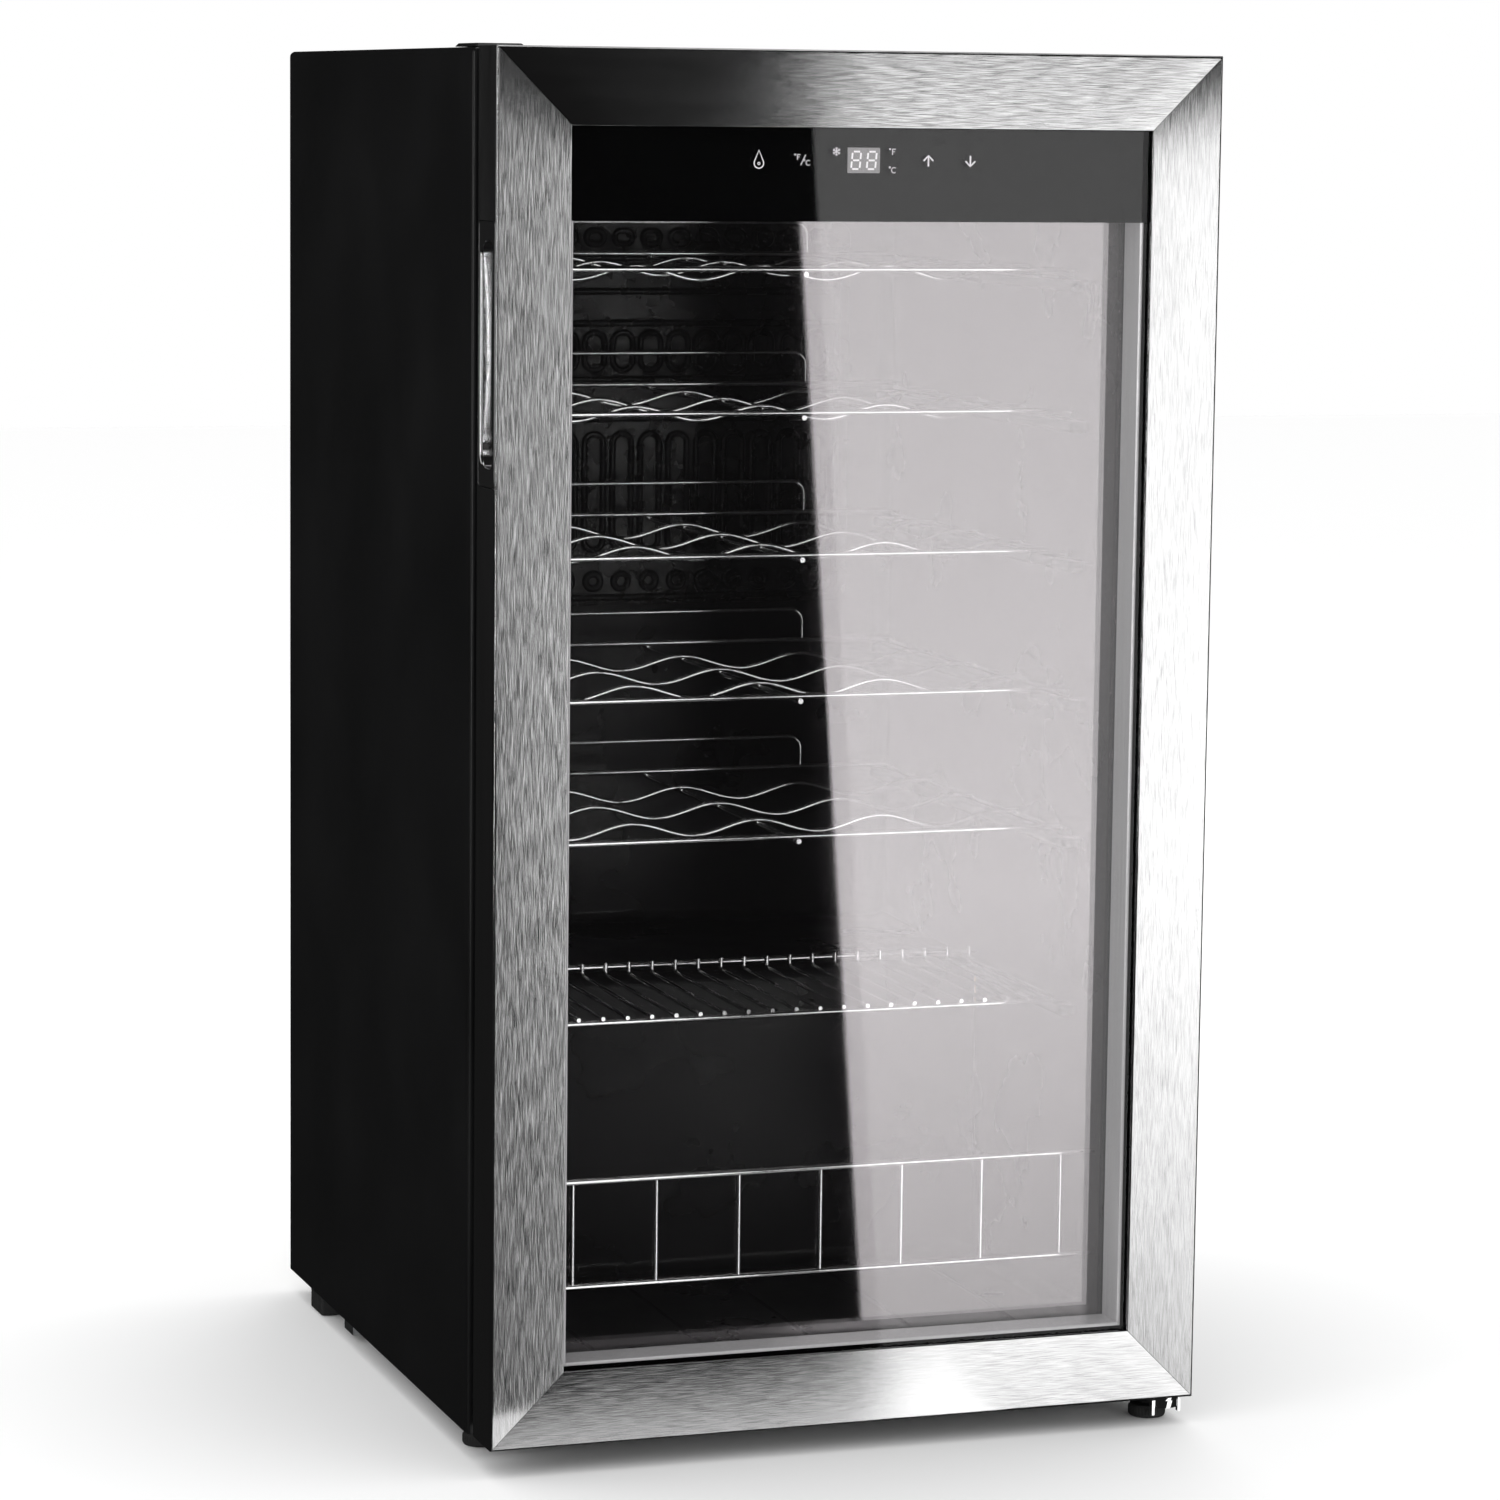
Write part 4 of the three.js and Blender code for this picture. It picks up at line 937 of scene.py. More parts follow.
# ------------------------------------------------------------------ condenser and machine room
# Black-painted steel tube runs to and fro behind the cabinet, with upright wires welded across both
# its faces. Below it are the compressor on its rubber-mounted plate, the start relay, the power box,
# the drip tray over the hot can, and copper pipes.
condenser_paint = finish("condenser_paint", (0.02, 0.02, 0.02), 0.5,
                         worn=(90, 3, 0.42, 0.6), bumps=(900, 3, 0.05, 0.6))
copper = finish("copper", (0.72, 0.36, 0.22), 0.28, 1.0, worn=(70, 6, 0.22, 0.42),
                tints=(70, 6, (0.5, 0.22, 0.12), (0.78, 0.42, 0.27)))
coil_low, coil_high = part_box("condenser_coil")
spout_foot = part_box("drain_spout")[0].z
COIL_TUBE, FIN_WIRE = 2.4 * MM, 0.8 * MM
COIL_ROWS = 9
FIN_WIRES = 50


def condenser_tube():
    made = wires("condenser_tube", condenser_paint)
    y = (coil_low.y + coil_high.y) / 2
    half = -coil_low.x - COIL_TUBE - 0.4 * MM
    riser = coil_high.x - COIL_TUBE
    top, foot = coil_high.z - COIL_TUBE, spout_foot + 48 * MM
    pitch = (top - foot) / (COIL_ROWS - 1)
    bend, corner = pitch / 2, 12 * MM
    points = [(riser, coil_low.z + 20 * MM)]
    points += arc(riser - corner, top - corner, corner, 0, 90, 6)
    for row in range(COIL_ROWS - 1):
        middle = top - (row + 0.5) * pitch
        if row % 2:
            points += arc(half - bend, middle, bend, 90, -90, 16)
        else:
            points += arc(bend - half, middle, bend, 90, 270, 16)
    points += arc(corner - half, foot - corner, corner, 90, 180, 6)
    points.append((-half, coil_low.z))
    run(made, [(x, y, z) for x, z in points], COIL_TUBE)
    return made


def condenser_wires():
    made = wires("condenser_wires", condenser_paint, 2)
    middle = (coil_low.y + coil_high.y) / 2
    away = COIL_TUBE + FIN_WIRE - 0.2 * MM
    half = -coil_low.x - 42 * MM
    low, high = spout_foot + 40 * MM, coil_high.z + 6 * MM
    for k in range(FIN_WIRES):
        x = half * (2 * k / (FIN_WIRES - 1) - 1)
        for y in (middle - away, middle + away):
            run(made, [(x, y, low), (x, y, high)], FIN_WIRE)
    return made


coil, coil_wires = condenser_tube(), condenser_wires()
for made in (coil, coil_wires):
    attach(made, "cabinet")
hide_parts("condenser_coil")
for side in ("left", "right"):
    softened(f"condenser_rail_{side}", 0.8 * MM, galvanised)


def compressor_can():
    """Two drawn steel shells with a welded seam, and a crimped filling tube."""
    centre, radius, tall = upright_round("compressor")
    seam = tall * 0.56
    lower = [(radius * 0.72, 0), *arc(radius * 0.78, 14 * MM, 14 * MM, -80, 0, 6)]
    lower = [(min(r, radius - 1.6 * MM), z) for r, z in lower]
    upper_corner = 30 * MM
    crown = arc(radius - 1.6 * MM - upper_corner, tall - upper_corner - 7 * MM, upper_corner, 0, 70, 10)
    bm = bmesh.new()
    turned(bm, centre, (0, 0, 1), [
        *lower, (radius - 1.6 * MM, seam - 3 * MM), (radius, seam - 2.2 * MM), (radius, seam + 1.4 * MM),
        (radius - 1.8 * MM, seam + 2.4 * MM), *crown, (radius * 0.35, tall - 1.2 * MM), (radius * 0.12, tall),
    ], 72)
    tube_foot = centre + Vector((24 * MM - radius, -20 * MM, tall - 22 * MM))
    turned(bm, tube_foot, (-0.25, -0.25, 1), [(3 * MM, 0), (3 * MM, 16 * MM), (MM, 20 * MM)], 16)
    return piece_from(bm, "compressor_can", condenser_paint)


def relay_cover():
    low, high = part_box("start_relay_box")
    bm = bmesh.new()
    block(bm, low, high - Vector((1.5 * MM, 0, 0)), 3 * MM)
    for k in range(5):
        z = low.z + (high.z - low.z) * (0.2 + 0.15 * k)
        block(bm, (high.x - 3 * MM, low.y + 9 * MM, z - 2 * MM), (high.x, high.y - 9 * MM, z + 2 * MM), MM, 2)
    return piece_from(bm, "relay_cover", black_plastic)


def power_box():
    low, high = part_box("power_board_box")
    lid = high.y - 14 * MM
    bm = bmesh.new()
    block(bm, (low.x + MM, low.y, low.z + MM), (high.x - MM, lid, high.z - MM), 2.5 * MM)
    block(bm, (low.x, lid + 0.4 * MM, low.z), (high.x, high.y - 1.6 * MM, high.z), 2.5 * MM)
    for x in (low.x + 8 * MM, high.x - 8 * MM):
        for z in (low.z + 8 * MM, high.z - 8 * MM):
            screw(bm, (x, high.y - 1.7 * MM, z), (0, 1, 0), 2.8 * MM, 1.5 * MM)
    return piece_from(bm, "power_box", black_plastic)


def filter_drier():
    centre, radius, tall = upright_round("filter_drier")
    bm = bmesh.new()
    turned(bm, centre, (0, 0, 1), [
        (1.6 * MM, 0), (1.8 * MM, 5 * MM), *arc(radius - 4 * MM, 13 * MM, 4 * MM, -70, 0, 5),
        (radius, tall - 18 * MM), (radius - 1.5 * MM, tall - 13 * MM), (3 * MM, tall - 7 * MM),
        (2.8 * MM, tall),
    ], 32)
    return piece_from(bm, "copper_filter_drier", copper)


def gland():
    low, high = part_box("cord_gland")
    radius = (high.x - low.x) / 2
    centre = ((low.x + high.x) / 2, low.y, (low.z + high.z) / 2)
    deep = high.y - low.y
    bm = bmesh.new()
    rings = [
        (3.6 * MM, 0), (6 * MM, 0), (6 * MM, deep - 2.5 * MM), (radius, deep - 2.4 * MM),
        (radius, deep - 0.8 * MM), (radius - 0.8 * MM, deep), (4.4 * MM, deep), (3.6 * MM, deep - 0.8 * MM),
    ]
    skin(bm, [ring_about(centre, (0, 1, 0), r, along, 36) for r, along in rings], joined=True)
    return piece_from(bm, "mains_gland", black_plastic)


for made, node, slot in (
    (compressor_can(), "compressor", "coil_paint"),
    (relay_cover(), "start_relay_box", "black_plastic"),
    (power_box(), "power_board_box", "black_plastic"),
    (filter_drier(), "filter_drier", "copper"),
    (gland(), "cord_gland", "black_plastic"),
):
    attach(made, "cabinet")
    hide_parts(node)

softened("compressor_mount", 0.8 * MM, condenser_paint)
softened("drip_tray", 0.5 * MM, black_plastic)
softened("drain_spout", 0.3 * MM, black_plastic, crease=50)
softened("suction_pipe", 0.3 * MM, copper, crease=60)
softened("discharge_pipe", 0.3 * MM, copper, crease=60)


def grommet(number):
    centre, radius, tall = upright_round(f"compressor_grommet_{number}")
    waist = tall * 0.34
    bm = bmesh.new()
    turned(bm, centre, (0, 0, 1), [
        (radius - 1.5 * MM, 0), (radius - 0.3 * MM, 1 * MM), (radius, 2 * MM), (radius - 1.2 * MM, waist),
        (radius - 0.2 * MM, waist + 2.5 * MM), (radius - 1 * MM, tall * 0.63), (5 * MM, tall * 0.64),
        (5 * MM, tall - 1.2 * MM), (4 * MM, tall),
    ], 36)
    return piece_from(bm, f"rubber_grommet_{number}", rubber)


for number in range(1, 5):
    made = grommet(number)
    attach(made, "cabinet")
    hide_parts(f"compressor_grommet_{number}")


# ------------------------------------------------------------------ door: stainless frame
# Four folded members of brushed stainless steel, cut to mitres, each with its grain along its length.
# The upright ones turn back round the door's sides, and all four turn in round the glass.
def brushed_steel_finish():
    steel, tree, shader = material("brushed_stainless", (0.5, 0.5, 0.505), 0.15, 1.0)
    shader.inputs["Anisotropic"].default_value = 0.9
    across = tree.nodes.new("ShaderNodeTangent")
    across.direction_type = "UV_MAP"
    across.uv_map = "grain"
    tree.links.new(across.outputs["Tangent"], shader.inputs["Tangent"])
    scratches = grain(tree, 1.0, (16000, 60, 1), detail=1, place="UV", turned=0.15)
    streaks = grain(tree, 1.0, (3600, 14, 1), detail=2, place="UV")
    tinted(tree, streaks, (0.49, 0.488, 0.486), (0.51, 0.51, 0.515), shader.inputs["Base Color"])
    ranged(tree, grain(tree, 1.0, (60, 8, 1), place="UV"), 0.13, 0.17, shader.inputs["Roughness"])
    tilt = None
    for height, slope in ((scratches, 0.72), (streaks, 0.02)):
        lean = tree.nodes.new("ShaderNodeMath")
        lean.operation = "MULTIPLY_ADD"
        lean.inputs[1].default_value = slope
        lean.inputs[2].default_value = -slope / 2
        tree.links.new(height, lean.inputs[0])
        tipped = tree.nodes.new("ShaderNodeVectorMath")
        tipped.operation = "SCALE"
        tree.links.new(across.outputs["Tangent"], tipped.inputs["Vector"])
        tree.links.new(lean.outputs[0], tipped.inputs["Scale"])
        added = tree.nodes.new("ShaderNodeVectorMath")
        surface = tilt or tree.nodes.new("ShaderNodeNewGeometry").outputs["Normal"]
        tree.links.new(surface, added.inputs[0])
        tree.links.new(tipped.outputs[0], added.inputs[1])
        tilt = added.outputs[0]
    facing = tree.nodes.new("ShaderNodeVectorMath")
    facing.operation = "NORMALIZE"
    tree.links.new(tilt, facing.inputs[0])
    tree.links.new(facing.outputs[0], shader.inputs["Normal"])
    return steel


brushed_steel = brushed_steel_finish()
frame_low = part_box("door_frame_left")[0]
frame_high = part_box("door_frame_right")[1]
top_member_low, top_member_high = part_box("door_frame_top")
door_front, door_rear = frame_low.y, frame_high.y + 0.5 * MM
door_half = frame_high.x
door_foot, door_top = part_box("door_frame_bottom")[0].z, top_member_high.z
BORDER = top_member_high.z - top_member_low.z
LIP, OUTER_ROUND, INNER_ROUND = 3 * MM, 1.8 * MM, 0.8 * MM
MEMBER_SHEET = 0.9 * MM
MITRE_GAP = 0.18 * MM
open_half, open_low, open_top = door_half - BORDER, door_foot + BORDER, door_top - BORDER


def member_fold(returns_to):
    """The member's skin as (inset from the door's edge, depth from its face), from back to lip."""
    fold = [(0, returns_to)] if returns_to > OUTER_ROUND * 1.5 else []
    fold += arc(OUTER_ROUND, OUTER_ROUND, OUTER_ROUND, 180, 270, 6)
    fold += arc(BORDER - INNER_ROUND, INNER_ROUND, INNER_ROUND, -90, 0, 4)
    fold.append((BORDER, LIP))
    return fold


def frame_member(name, side):
    upright = side in ("left", "right")
    sign = -1 if side in ("left", "bottom") else 1
    fold = member_fold(door_rear - door_front - 0.5 * MM if upright else 0)
    bm = bmesh.new()
    grain_map = bm.loops.layers.uv.new("grain")
    rows = []
    across = 0
    last = fold[0]
    stations = 12
    for inset, depth in fold:
        across += hypot(inset - last[0], depth - last[1])
        last = (inset, depth)
        row = []
        for k in range(stations + 1):
            if upright:
                low, high = door_foot + inset + MITRE_GAP, door_top - inset - MITRE_GAP
                at = low + (high - low) * k / stations
                place = (sign * (door_half - inset), door_front + depth, at)
            else:
                low, high = -door_half + inset + MITRE_GAP, door_half - inset - MITRE_GAP
                at = low + (high - low) * k / stations
                level = door_top - inset if sign > 0 else door_foot + inset
                place = (at, door_front + depth, level)
            row.append((bm.verts.new(place), (across, at + (0 if upright else 3))))
        rows.append(row)
    for one, two in zip(rows, rows[1:]):
        for k in range(stations):
            corners = (one[k], one[k + 1], two[k + 1], two[k])
            face = bm.faces.new([vert for vert, uv in corners])
            for loop, (vert, uv) in zip(face.loops, corners):
                loop[grain_map].uv = uv
    return piece_from(bm, name, brushed_steel, crease=60, sheet=MEMBER_SHEET)


members = {side: frame_member(f"steel_member_{side}", side) for side in ("left", "right", "top", "bottom")}
cup_low, cup_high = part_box("handle_cup")


def handle_opening():
    bm = bmesh.new()
    clear = 0.25 * MM
    outline = rounded(cup_low.y - clear, cup_high.y + clear, cup_low.z - clear, cup_high.z + clear, 3 * MM)
    skin(bm, [[(x, y, z) for y, z in outline] for x in (-door_half - 5 * MM, -door_half + 4 * MM)])
    return bm


def hinge_notch():
    """Room in the right member's side for the hinge plate to pass under its face."""
    cap_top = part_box("door_top_cap")[1].z
    bm = bmesh.new()
    block(bm, (door_half - 10 * MM, door_front + 1.2 * MM, cap_top),
          (door_half + MM, door_rear + MM, door_top + MM), 0.05 * MM)
    return bm


members["left"] = carved(members["left"], ("DIFFERENCE", solid_of(handle_opening(), "handle_opening")))
members["right"] = carved(members["right"], ("DIFFERENCE", solid_of(hinge_notch(), "hinge_notch")))
for side, member in members.items():
    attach(member, "door")
    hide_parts(f"door_frame_{side}")


# ------------------------------------------------------------------ door: core, caps and seal
# A moulded black core holds the glass and the handle between two end caps with the hinge bushes.
# The soft magnetic seal is mitred at its corners, with a bellows and a flat face for the cabinet.
softened("door_inner_frame", 0.6 * MM, black_plastic)
softened("door_top_cap", 0.5 * MM, black_plastic)
softened("door_bottom_cap", 0.5 * MM, black_plastic)
seal_low, seal_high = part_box("door_gasket")


def mitred_ring(bm, low, high, section):
    """Sweeps a closed section of (inset, y) points round a rectangle with mitred corners."""
    skin(bm, [
        [(x - x_side * inset, y, z - z_side * inset) for inset, y in section]
        for x, x_side, z, z_side in (
            (low.x, -1, low.z, -1), (high.x, 1, low.z, -1), (high.x, 1, high.z, 1), (low.x, -1, high.z, 1),
        )
    ], joined=True)


def door_seal():
    wide, deep = 16 * MM, seal_high.y - seal_low.y
    shares = [
        (0.3, 0), (0.7, 0), (0.74, 0.12), (0.66, 0.24), (0.9, 0.34), (0.97, 0.44), (0.9, 0.54), (0.8, 0.6),
        (0.95, 0.68), (1, 0.8), (0.97, 0.95), (0.9, 1), (0.12, 1), (0.03, 0.95), (0, 0.8), (0.05, 0.68),
        (0.22, 0.6), (0.1, 0.52), (0.06, 0.42), (0.14, 0.32), (0.34, 0.24), (0.26, 0.12),
    ]
    bm = bmesh.new()
    section = [(across * wide, seal_low.y + back * deep) for across, back in shares]
    mitred_ring(bm, seal_low, seal_high, section)
    return piece_from(bm, "magnetic_seal", rubber, crease=50)


seal = door_seal()
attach(seal, "door")
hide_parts("door_gasket")


# ------------------------------------------------------------------ door: glass unit
# A toughened outer pane, a narrow spacer of satin grey metal and a coated inner pane that mirrors
# strongly. The spacer stands close behind the opening, so its grey inner side shows.
wear = (6, 2, 0.008, 0.022)
dark_glass = finish("outer_glass", (0.004, 0.004, 0.0045), 0.015, worn=wear, IOR=3.5, Alpha=0.05)
coated_glass = finish("coated_inner_glass", (0.82, 0.775, 0.795), 0.015, 1.0, worn=wear, Alpha=0.16)


def pane(name, node, look):
    low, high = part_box(node)
    bm = bmesh.new()
    upright_slab(bm, low, high, 0.5 * MM, 3 * MM, 4)
    return piece_from(bm, name, look, crease=20)


outer_pane = pane("outer_pane", "outer_glass", dark_glass)
inner_pane = pane("inner_pane", "inner_glass", coated_glass)
for made, node in ((outer_pane, "outer_glass"), (inner_pane, "inner_glass")):
    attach(made, "door")
    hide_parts(node)

spacer_low, spacer_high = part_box("glass_spacer")
outer_low, outer_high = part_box("outer_glass")
SPACER_WIDE = 3 * MM


def spacer_finish():
    satin, tree, shader = material("spacer_metal", (0.55, 0.54, 0.55), 0.3, 0.2)
    rolled = grain(tree, 500, (1, 1, 0.02))
    tinted(tree, rolled, (0.52, 0.51, 0.52), (0.58, 0.57, 0.58), shader.inputs["Base Color"])
    ranged(tree, grain(tree, 60), 0.16, 0.24, shader.inputs["Roughness"])
    return satin


spacer_metal = spacer_finish()


def edge_spacer():
    chamfer = 0.8 * MM
    section = [
        (0, spacer_low.y), (SPACER_WIDE - chamfer, spacer_low.y), (SPACER_WIDE, spacer_low.y + chamfer),
        (SPACER_WIDE, spacer_high.y - chamfer), (SPACER_WIDE - chamfer, spacer_high.y), (0, spacer_high.y),
    ]
    bm = bmesh.new()
    mitred_ring(bm, spacer_low, spacer_high, section)
    return piece_from(bm, "edge_spacer", spacer_metal)


spacer = edge_spacer()
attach(spacer, "door")
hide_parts("glass_spacer")


# ------------------------------------------------------------------ door: control band
# Touch keys printed light grey on the outer pane, and a two-digit display in a pale window; keys, window and
# digits carry a faint painted glow. Black print behind the pane covers the band, where it hides the circuit
# board, and the edges of the glass.
def ink(name, colour, roughness, **constants):
    dark = tuple(0.9 * tone for tone in colour)
    return finish(name, colour, roughness, tints=(900, 3, dark, colour),
                  worn=(600, 3, roughness - 0.06, roughness + 0.06), **constants)


# Painted glow: a faint emission on the key print, the display window and its digits, though none of them is a
# lamp, so that they stay bright however they are lit.
painted_glow = {"Emission_Color": (0.9, 0.88, 0.9, 1)}
black_ink = ink("black_print", (0.001, 0.001, 0.0011), 0.5, Specular_IOR_Level=0.02)
key_ink = ink("key_print", (0.5, 0.48, 0.5), 0.5, Emission_Strength=0.25, **painted_glow)
window_plastic = ink("display_window", (0.22, 0.21, 0.215), 0.4, Emission_Strength=0.05, **painted_glow)
digit_ink = ink("display_digits", (0.7, 0.68, 0.7), 0.5, Emission_Strength=0.2, **painted_glow)
print_y = outer_high.y + 0.05 * MM
band_low = spacer_high.z - 4.3 * MM
band_middle = (band_low + open_top) / 2 + 8.5 * MM
module_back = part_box("display_module")[1].y
WINDOW_WIDE, WINDOW_TALL = 20 * MM, 14.6 * MM
STROKE = 0.95 * MM


def band_print():
    """The black print: the control band, with a hole for the display, and a border round the glass."""
    thick = 0.12 * MM
    bm = bmesh.new()
    left, right, low, top = outer_low.x + MM, outer_high.x - MM, outer_low.z + MM, outer_high.z - MM
    side, tall = WINDOW_WIDE / 2, WINDOW_TALL / 2
    inner, sill = open_half - 1.6 * MM, open_low + 1.6 * MM
    strips = [
        (left, -side, band_low, top), (side, right, band_low, top),
        (-side, side, band_low, band_middle - tall), (-side, side, band_middle + tall, top),
        (left, -inner, low, band_low), (inner, right, low, band_low), (-inner, inner, low, sill),
    ]
    for x0, x1, z0, z1 in strips:
        corners = ((x0, z0), (x1, z0), (x1, z1), (x0, z1))
        skin(bm, [[(x, y, z) for x, z in corners] for y in (print_y, print_y + thick)])
    return piece_from(bm, "black_print", black_ink)


def ribbon(bm, points, y, width, closed=False, rise=0.08 * MM):
    """A flat printed stroke of one width along its (x, z) points."""
    count = len(points)
    sides = []
    for k, (x, z) in enumerate(points):
        before = points[k - 1] if k or closed else points[k]
        after = points[(k + 1) % count] if k < count - 1 or closed else points[k]
        way = Vector((after[0] - before[0], after[1] - before[1])).normalized()
        across = Vector((-way.y, way.x)) * width / 2
        sides.append(((x - across.x, z - across.y), (x + across.x, z + across.y)))
    spans = list(zip(sides, sides[1:]))
    if closed:
        spans.append((sides[-1], sides[0]))
    for (a, b), (c, d) in spans:
        skin(bm, [[(x, level, z) for x, z in (a, c, d, b)] for level in (y, y + rise)])


def key_prints():
    y = outer_low.y - 0.06 * MM
    bm = bmesh.new()
    drop_x, drop_z = -65.5 * MM, band_middle
    drop = [(drop_x, drop_z + 5.4 * MM)]
    drop += arc(drop_x, drop_z - 2 * MM, 2.9 * MM, 150, 390, 18)
    ribbon(bm, drop, y, 0.6 * MM, closed=True)
    ribbon(bm, arc(drop_x, drop_z - 2.2 * MM, 0.7 * MM, 0, 324, 9), y, 0.45 * MM, closed=True)
    flake_x, flake_z = -18.3 * MM, band_middle + 5 * MM
    for k in range(3):
        turn = radians(60 * k + 30)
        arm = 2.5 * MM
        dx, dz = arm * cos(turn), arm * sin(turn)
        ribbon(bm, [(flake_x - dx, flake_z - dz), (flake_x + dx, flake_z + dz)], y, 0.5 * MM)
        for end in (-1, 1):
            for fork in (-40, 40):
                away = turn + radians(fork)
                root = (flake_x + end * 0.55 * dx, flake_z + end * 0.55 * dz)
                tip = (root[0] + end * MM * cos(away), root[1] + end * MM * sin(away))
                ribbon(bm, [root, tip], y, 0.4 * MM)
    for x, way in ((38.4 * MM, 1), (64.5 * MM, -1)):
        ribbon(bm, [(x, band_middle - way * 3.2 * MM), (x, band_middle + way * 2.6 * MM)], y, STROKE)
        head = [(x - 3 * MM, band_middle), (x, band_middle + way * 3 * MM), (x + 3 * MM, band_middle)]
        ribbon(bm, head, y, STROKE)
    for x, z, letter, size in (
        (16.8 * MM, band_middle + 5 * MM, "F", 1.0), (16.8 * MM, band_middle - 5.5 * MM, "C", 1.0),
        (-41.5 * MM, band_middle + 1.6 * MM, "F", 0.9), (-35.8 * MM, band_middle - 1.6 * MM, "C", 0.9),
    ):
        degree_scale(bm, x, z, letter, size, y)
    slash_x = -38.6 * MM
    slash = [(slash_x + end * 1.5 * MM, band_middle + end * 3 * MM) for end in (-1, 1)]
    ribbon(bm, slash, y, 0.5 * MM)
    return piece_from(bm, "key_prints", key_ink)


def degree_scale(bm, x, z, letter, size, y):
    """The unit mark of a temperature scale: a small ring and its letter."""
    unit = size * MM
    stroke = 0.45 * MM
    ribbon(bm, arc(x - 2.2 * unit, z + 1.6 * unit, 0.45 * unit, 0, 315, 7), y, 0.35 * MM, closed=True)
    if letter == "C":
        ribbon(bm, arc(x + 0.4 * unit, z, 1.55 * unit, 50, 310, 12), y, stroke)
    else:
        ribbon(bm, [(x - 0.7 * unit, z - 1.7 * unit), (x - 0.7 * unit, z + 1.7 * unit)], y, stroke)
        ribbon(bm, [(x - 0.7 * unit, z + 1.6 * unit), (x + 1.3 * unit, z + 1.6 * unit)], y, stroke)
        ribbon(bm, [(x - 0.7 * unit, z + 0.1 * unit), (x + 0.8 * unit, z + 0.1 * unit)], y, stroke)


def display_window():
    bm = bmesh.new()
    half, tall = WINDOW_WIDE / 2, WINDOW_TALL / 2
    corners = [(x, band_middle + z) for x, z in rounded(-half, half, -tall, tall, 0.4 * MM, 2)]
    skin(bm, [[(x, y, z) for x, z in corners] for y in (print_y + 0.1 * MM, module_back - MM)])
    return piece_from(bm, "display_window", window_plastic)


def display_digits():
    """Two leaning figures, each of seven bars."""
    y = print_y
    bm = bmesh.new()
    half, tall, slant = 2.6 * MM, 5.0 * MM, 0.09
    gap, bar = 0.7 * MM, 1.05 * MM
    for middle in (-4.7 * MM, 4.9 * MM):
        def corner(x, z):
            return (middle + x + slant * z, band_middle + z)
        for level in (-tall, 0, tall):
            ribbon(bm, [corner(gap - half, level), corner(half - gap, level)], y, bar)
        for side in (-half, half):
            for low, high in ((-tall, 0), (0, tall)):
                ribbon(bm, [corner(side, low + gap), corner(side, high - gap)], y, bar)
    return piece_from(bm, "display_digits", digit_ink)


band, keys = band_print(), key_prints()
window, digits = display_window(), display_digits()
for made, slot in ((band, "black_plastic"), (keys, "grey_plastic"), (window, "grey_plastic"),
                   (digits, "grey_plastic")):
    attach(made, "door")
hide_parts("display_module")


def circuit_board_finish():
    board, tree, shader = material("solder_mask", (0.02, 0.10, 0.04), 0.35)
    tracks = grain(tree, 350, (1, 1, 3), detail=1)
    tinted(tree, tracks, (0.015, 0.085, 0.035), (0.03, 0.14, 0.06), shader.inputs["Base Color"])
    return board


softened("control_board", 0.2 * MM, circuit_board_finish())


# ------------------------------------------------------------------ door: pocket handle
# A chromed plate let into the door's left side, with a finger pocket whose rims are rolled and whose
# front rim bows back in its middle. A countersunk screw holds each end.
HANDLE_END = 11 * MM
HANDLE_RIM = 3.5 * MM
POCKET_BOW, POCKET_DEEP, POCKET_ROUND = 4.5 * MM, 16 * MM, 5 * MM


def pocket_outline(grown):
    """The pocket's outline in (y, z): straight at the rear, bowed in at the front."""
    y0, y1 = cup_low.y + HANDLE_RIM - grown, cup_high.y - HANDLE_RIM + grown
    z0, z1 = cup_low.z + HANDLE_END - grown, cup_high.z - HANDLE_END + grown
    middle, half = (z0 + z1) / 2, (z1 - z0) / 2
    radius = min((y1 - y0) / 2, half) * 0.72
    points = []
    for y, z in rounded_long(y0, y1, z0, z1, radius):
        share = max(1 - ((z - middle) / half) ** 2, 0)
        if y < (y0 + y1) / 2:
            y += POCKET_BOW * share * ((y0 + y1) / 2 - y) / ((y1 - y0) / 2)
        points.append((y, z))
    return points


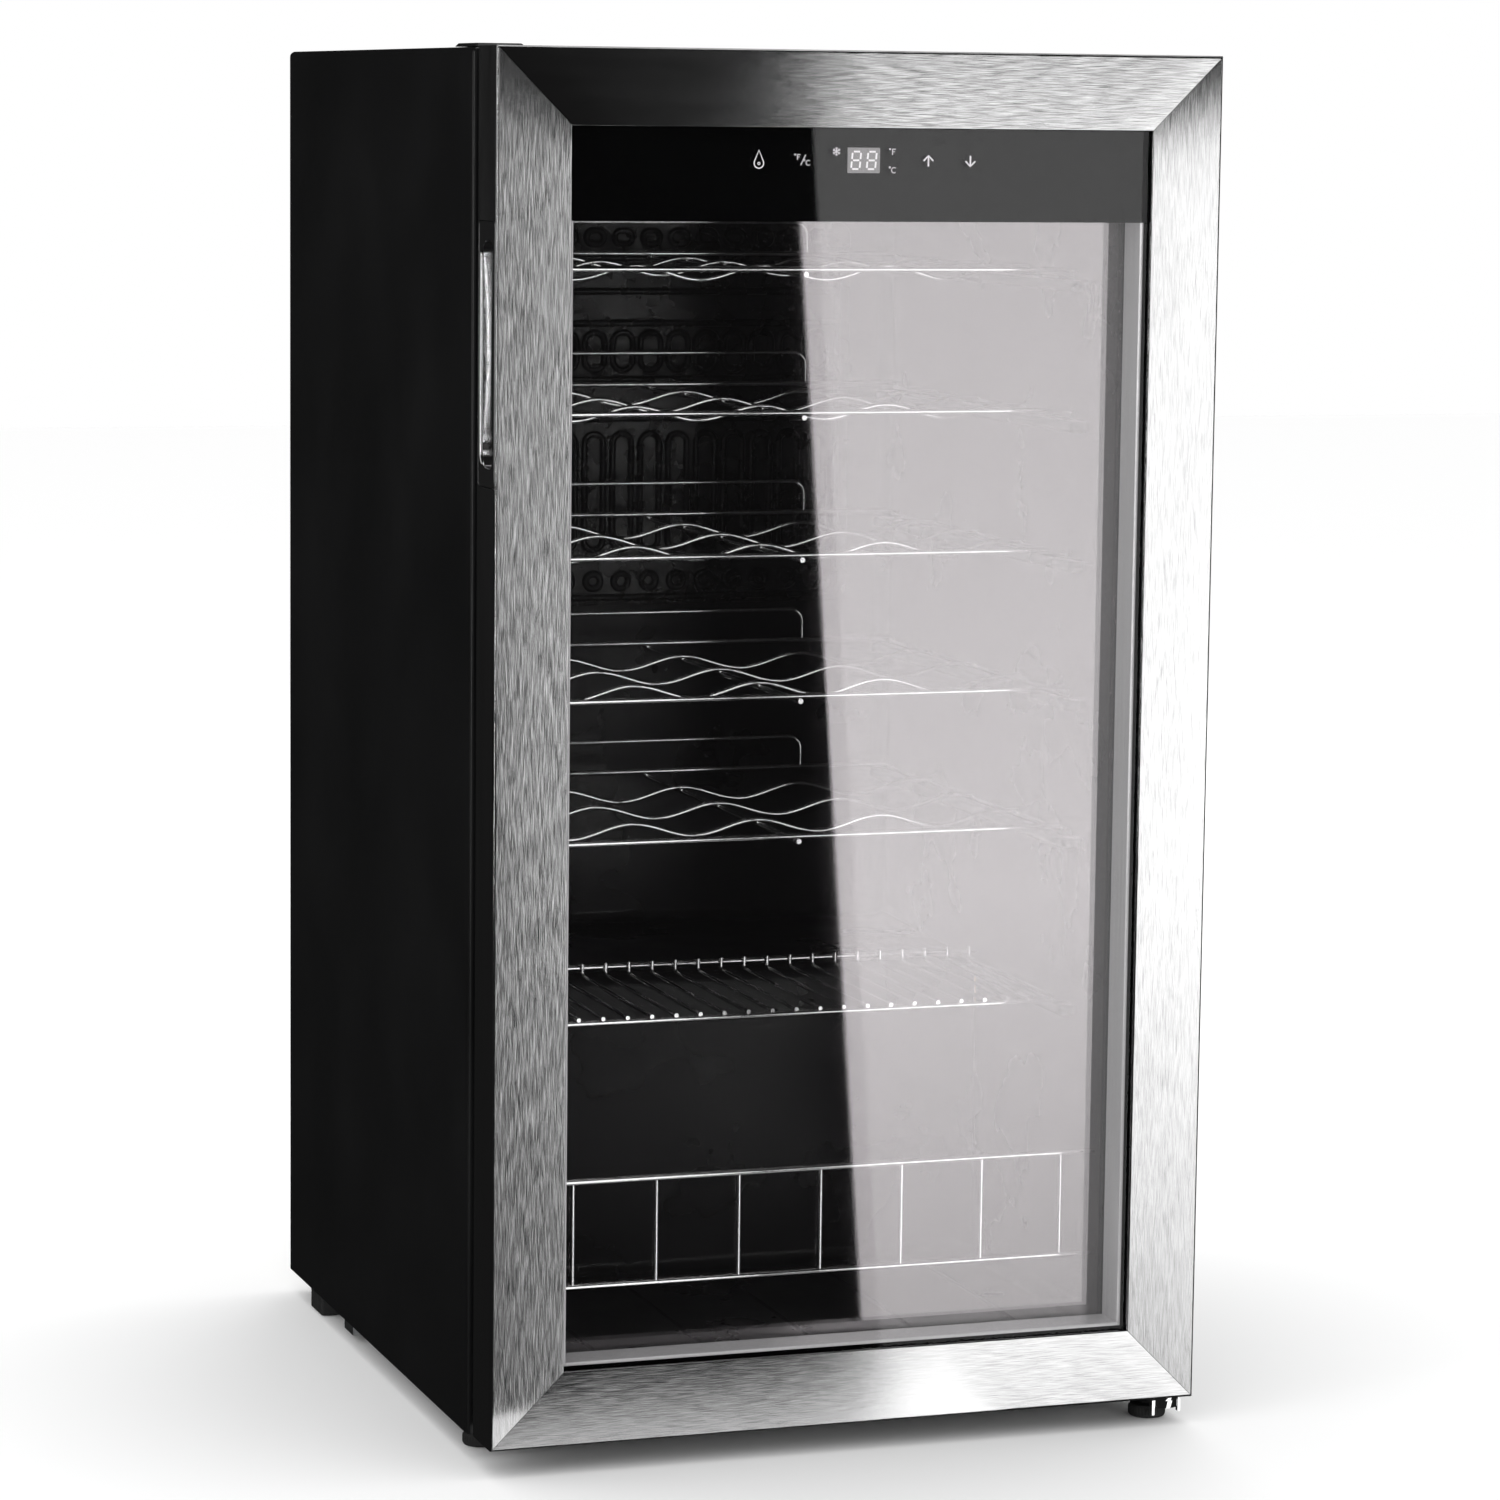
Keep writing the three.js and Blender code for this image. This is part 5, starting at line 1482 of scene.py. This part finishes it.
def rounded_long(y0, y1, z0, z1, radius, steps=14, sides=14):
    """A rounded rectangle whose upright sides have points along them too."""
    corners = rounded(y0, y1, z0, z1, radius, steps)
    count = steps + 1
    arcs = [corners[k * count:(k + 1) * count] for k in range(4)]
    points = []
    for k, corner in enumerate(arcs):
        points += corner
        if k in (0, 2):
            start, end = corner[-1], arcs[(k + 1) % 4][0]
            points += [
                (start[0] + (end[0] - start[0]) * s / sides, start[1] + (end[1] - start[1]) * s / sides)
                for s in range(1, sides)
            ]
    return points


def plate_outline(inset):
    return rounded_long(cup_low.y + inset, cup_high.y - inset, cup_low.z + inset, cup_high.z - inset, 3 * MM)


def pocket_handle():
    face = cup_low.x
    floor_x = face + POCKET_DEEP
    rings = [(face + 1.2 * MM, plate_outline(0)), (face + 0.5 * MM, plate_outline(0)), 
             (face + 0.15 * MM, plate_outline(0.15 * MM)), (face, plate_outline(0.5 * MM))]
    rings += [(face + lift, pocket_outline(grown)) for grown, lift in (
        (1.6 * MM, 0), (0.9 * MM, 0.12 * MM), (0.35 * MM, 0.5 * MM), (0.05 * MM, 1.1 * MM), (0, 1.8 * MM),
    )]
    rings += [(floor_x - POCKET_ROUND * (1 - sin(t)), pocket_outline(-POCKET_ROUND * (1 - cos(t))))
              for t in (0, 0.4, 0.8, 1.2, pi / 2)]
    bm = bmesh.new()
    skin(bm, [[(x, y, z) for y, z in outline] for x, outline in rings], capped=False)
    inside = [v for v in bm.verts if v.co.x > floor_x - 1e-6]
    bm.faces.new(inside)
    return piece_from(bm, "pocket_handle", chrome, crease=60, sheet=0.9 * MM)


def handle_screws():
    bm = bmesh.new()
    y = (cup_low.y + cup_high.y) / 2 + 3 * MM
    for z in (cup_low.z + 5.6 * MM, cup_high.z - 5.6 * MM):
        screw(bm, (cup_low.x + 0.9 * MM, y, z), (-1, 0, 0), 3 * MM, 0.8 * MM)
    return piece_from(bm, "handle_screws", zinc_screws)


handle, handle_fixings = pocket_handle(), handle_screws()
for made in (handle, handle_fixings):
    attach(made, "door")
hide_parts("handle_cup")
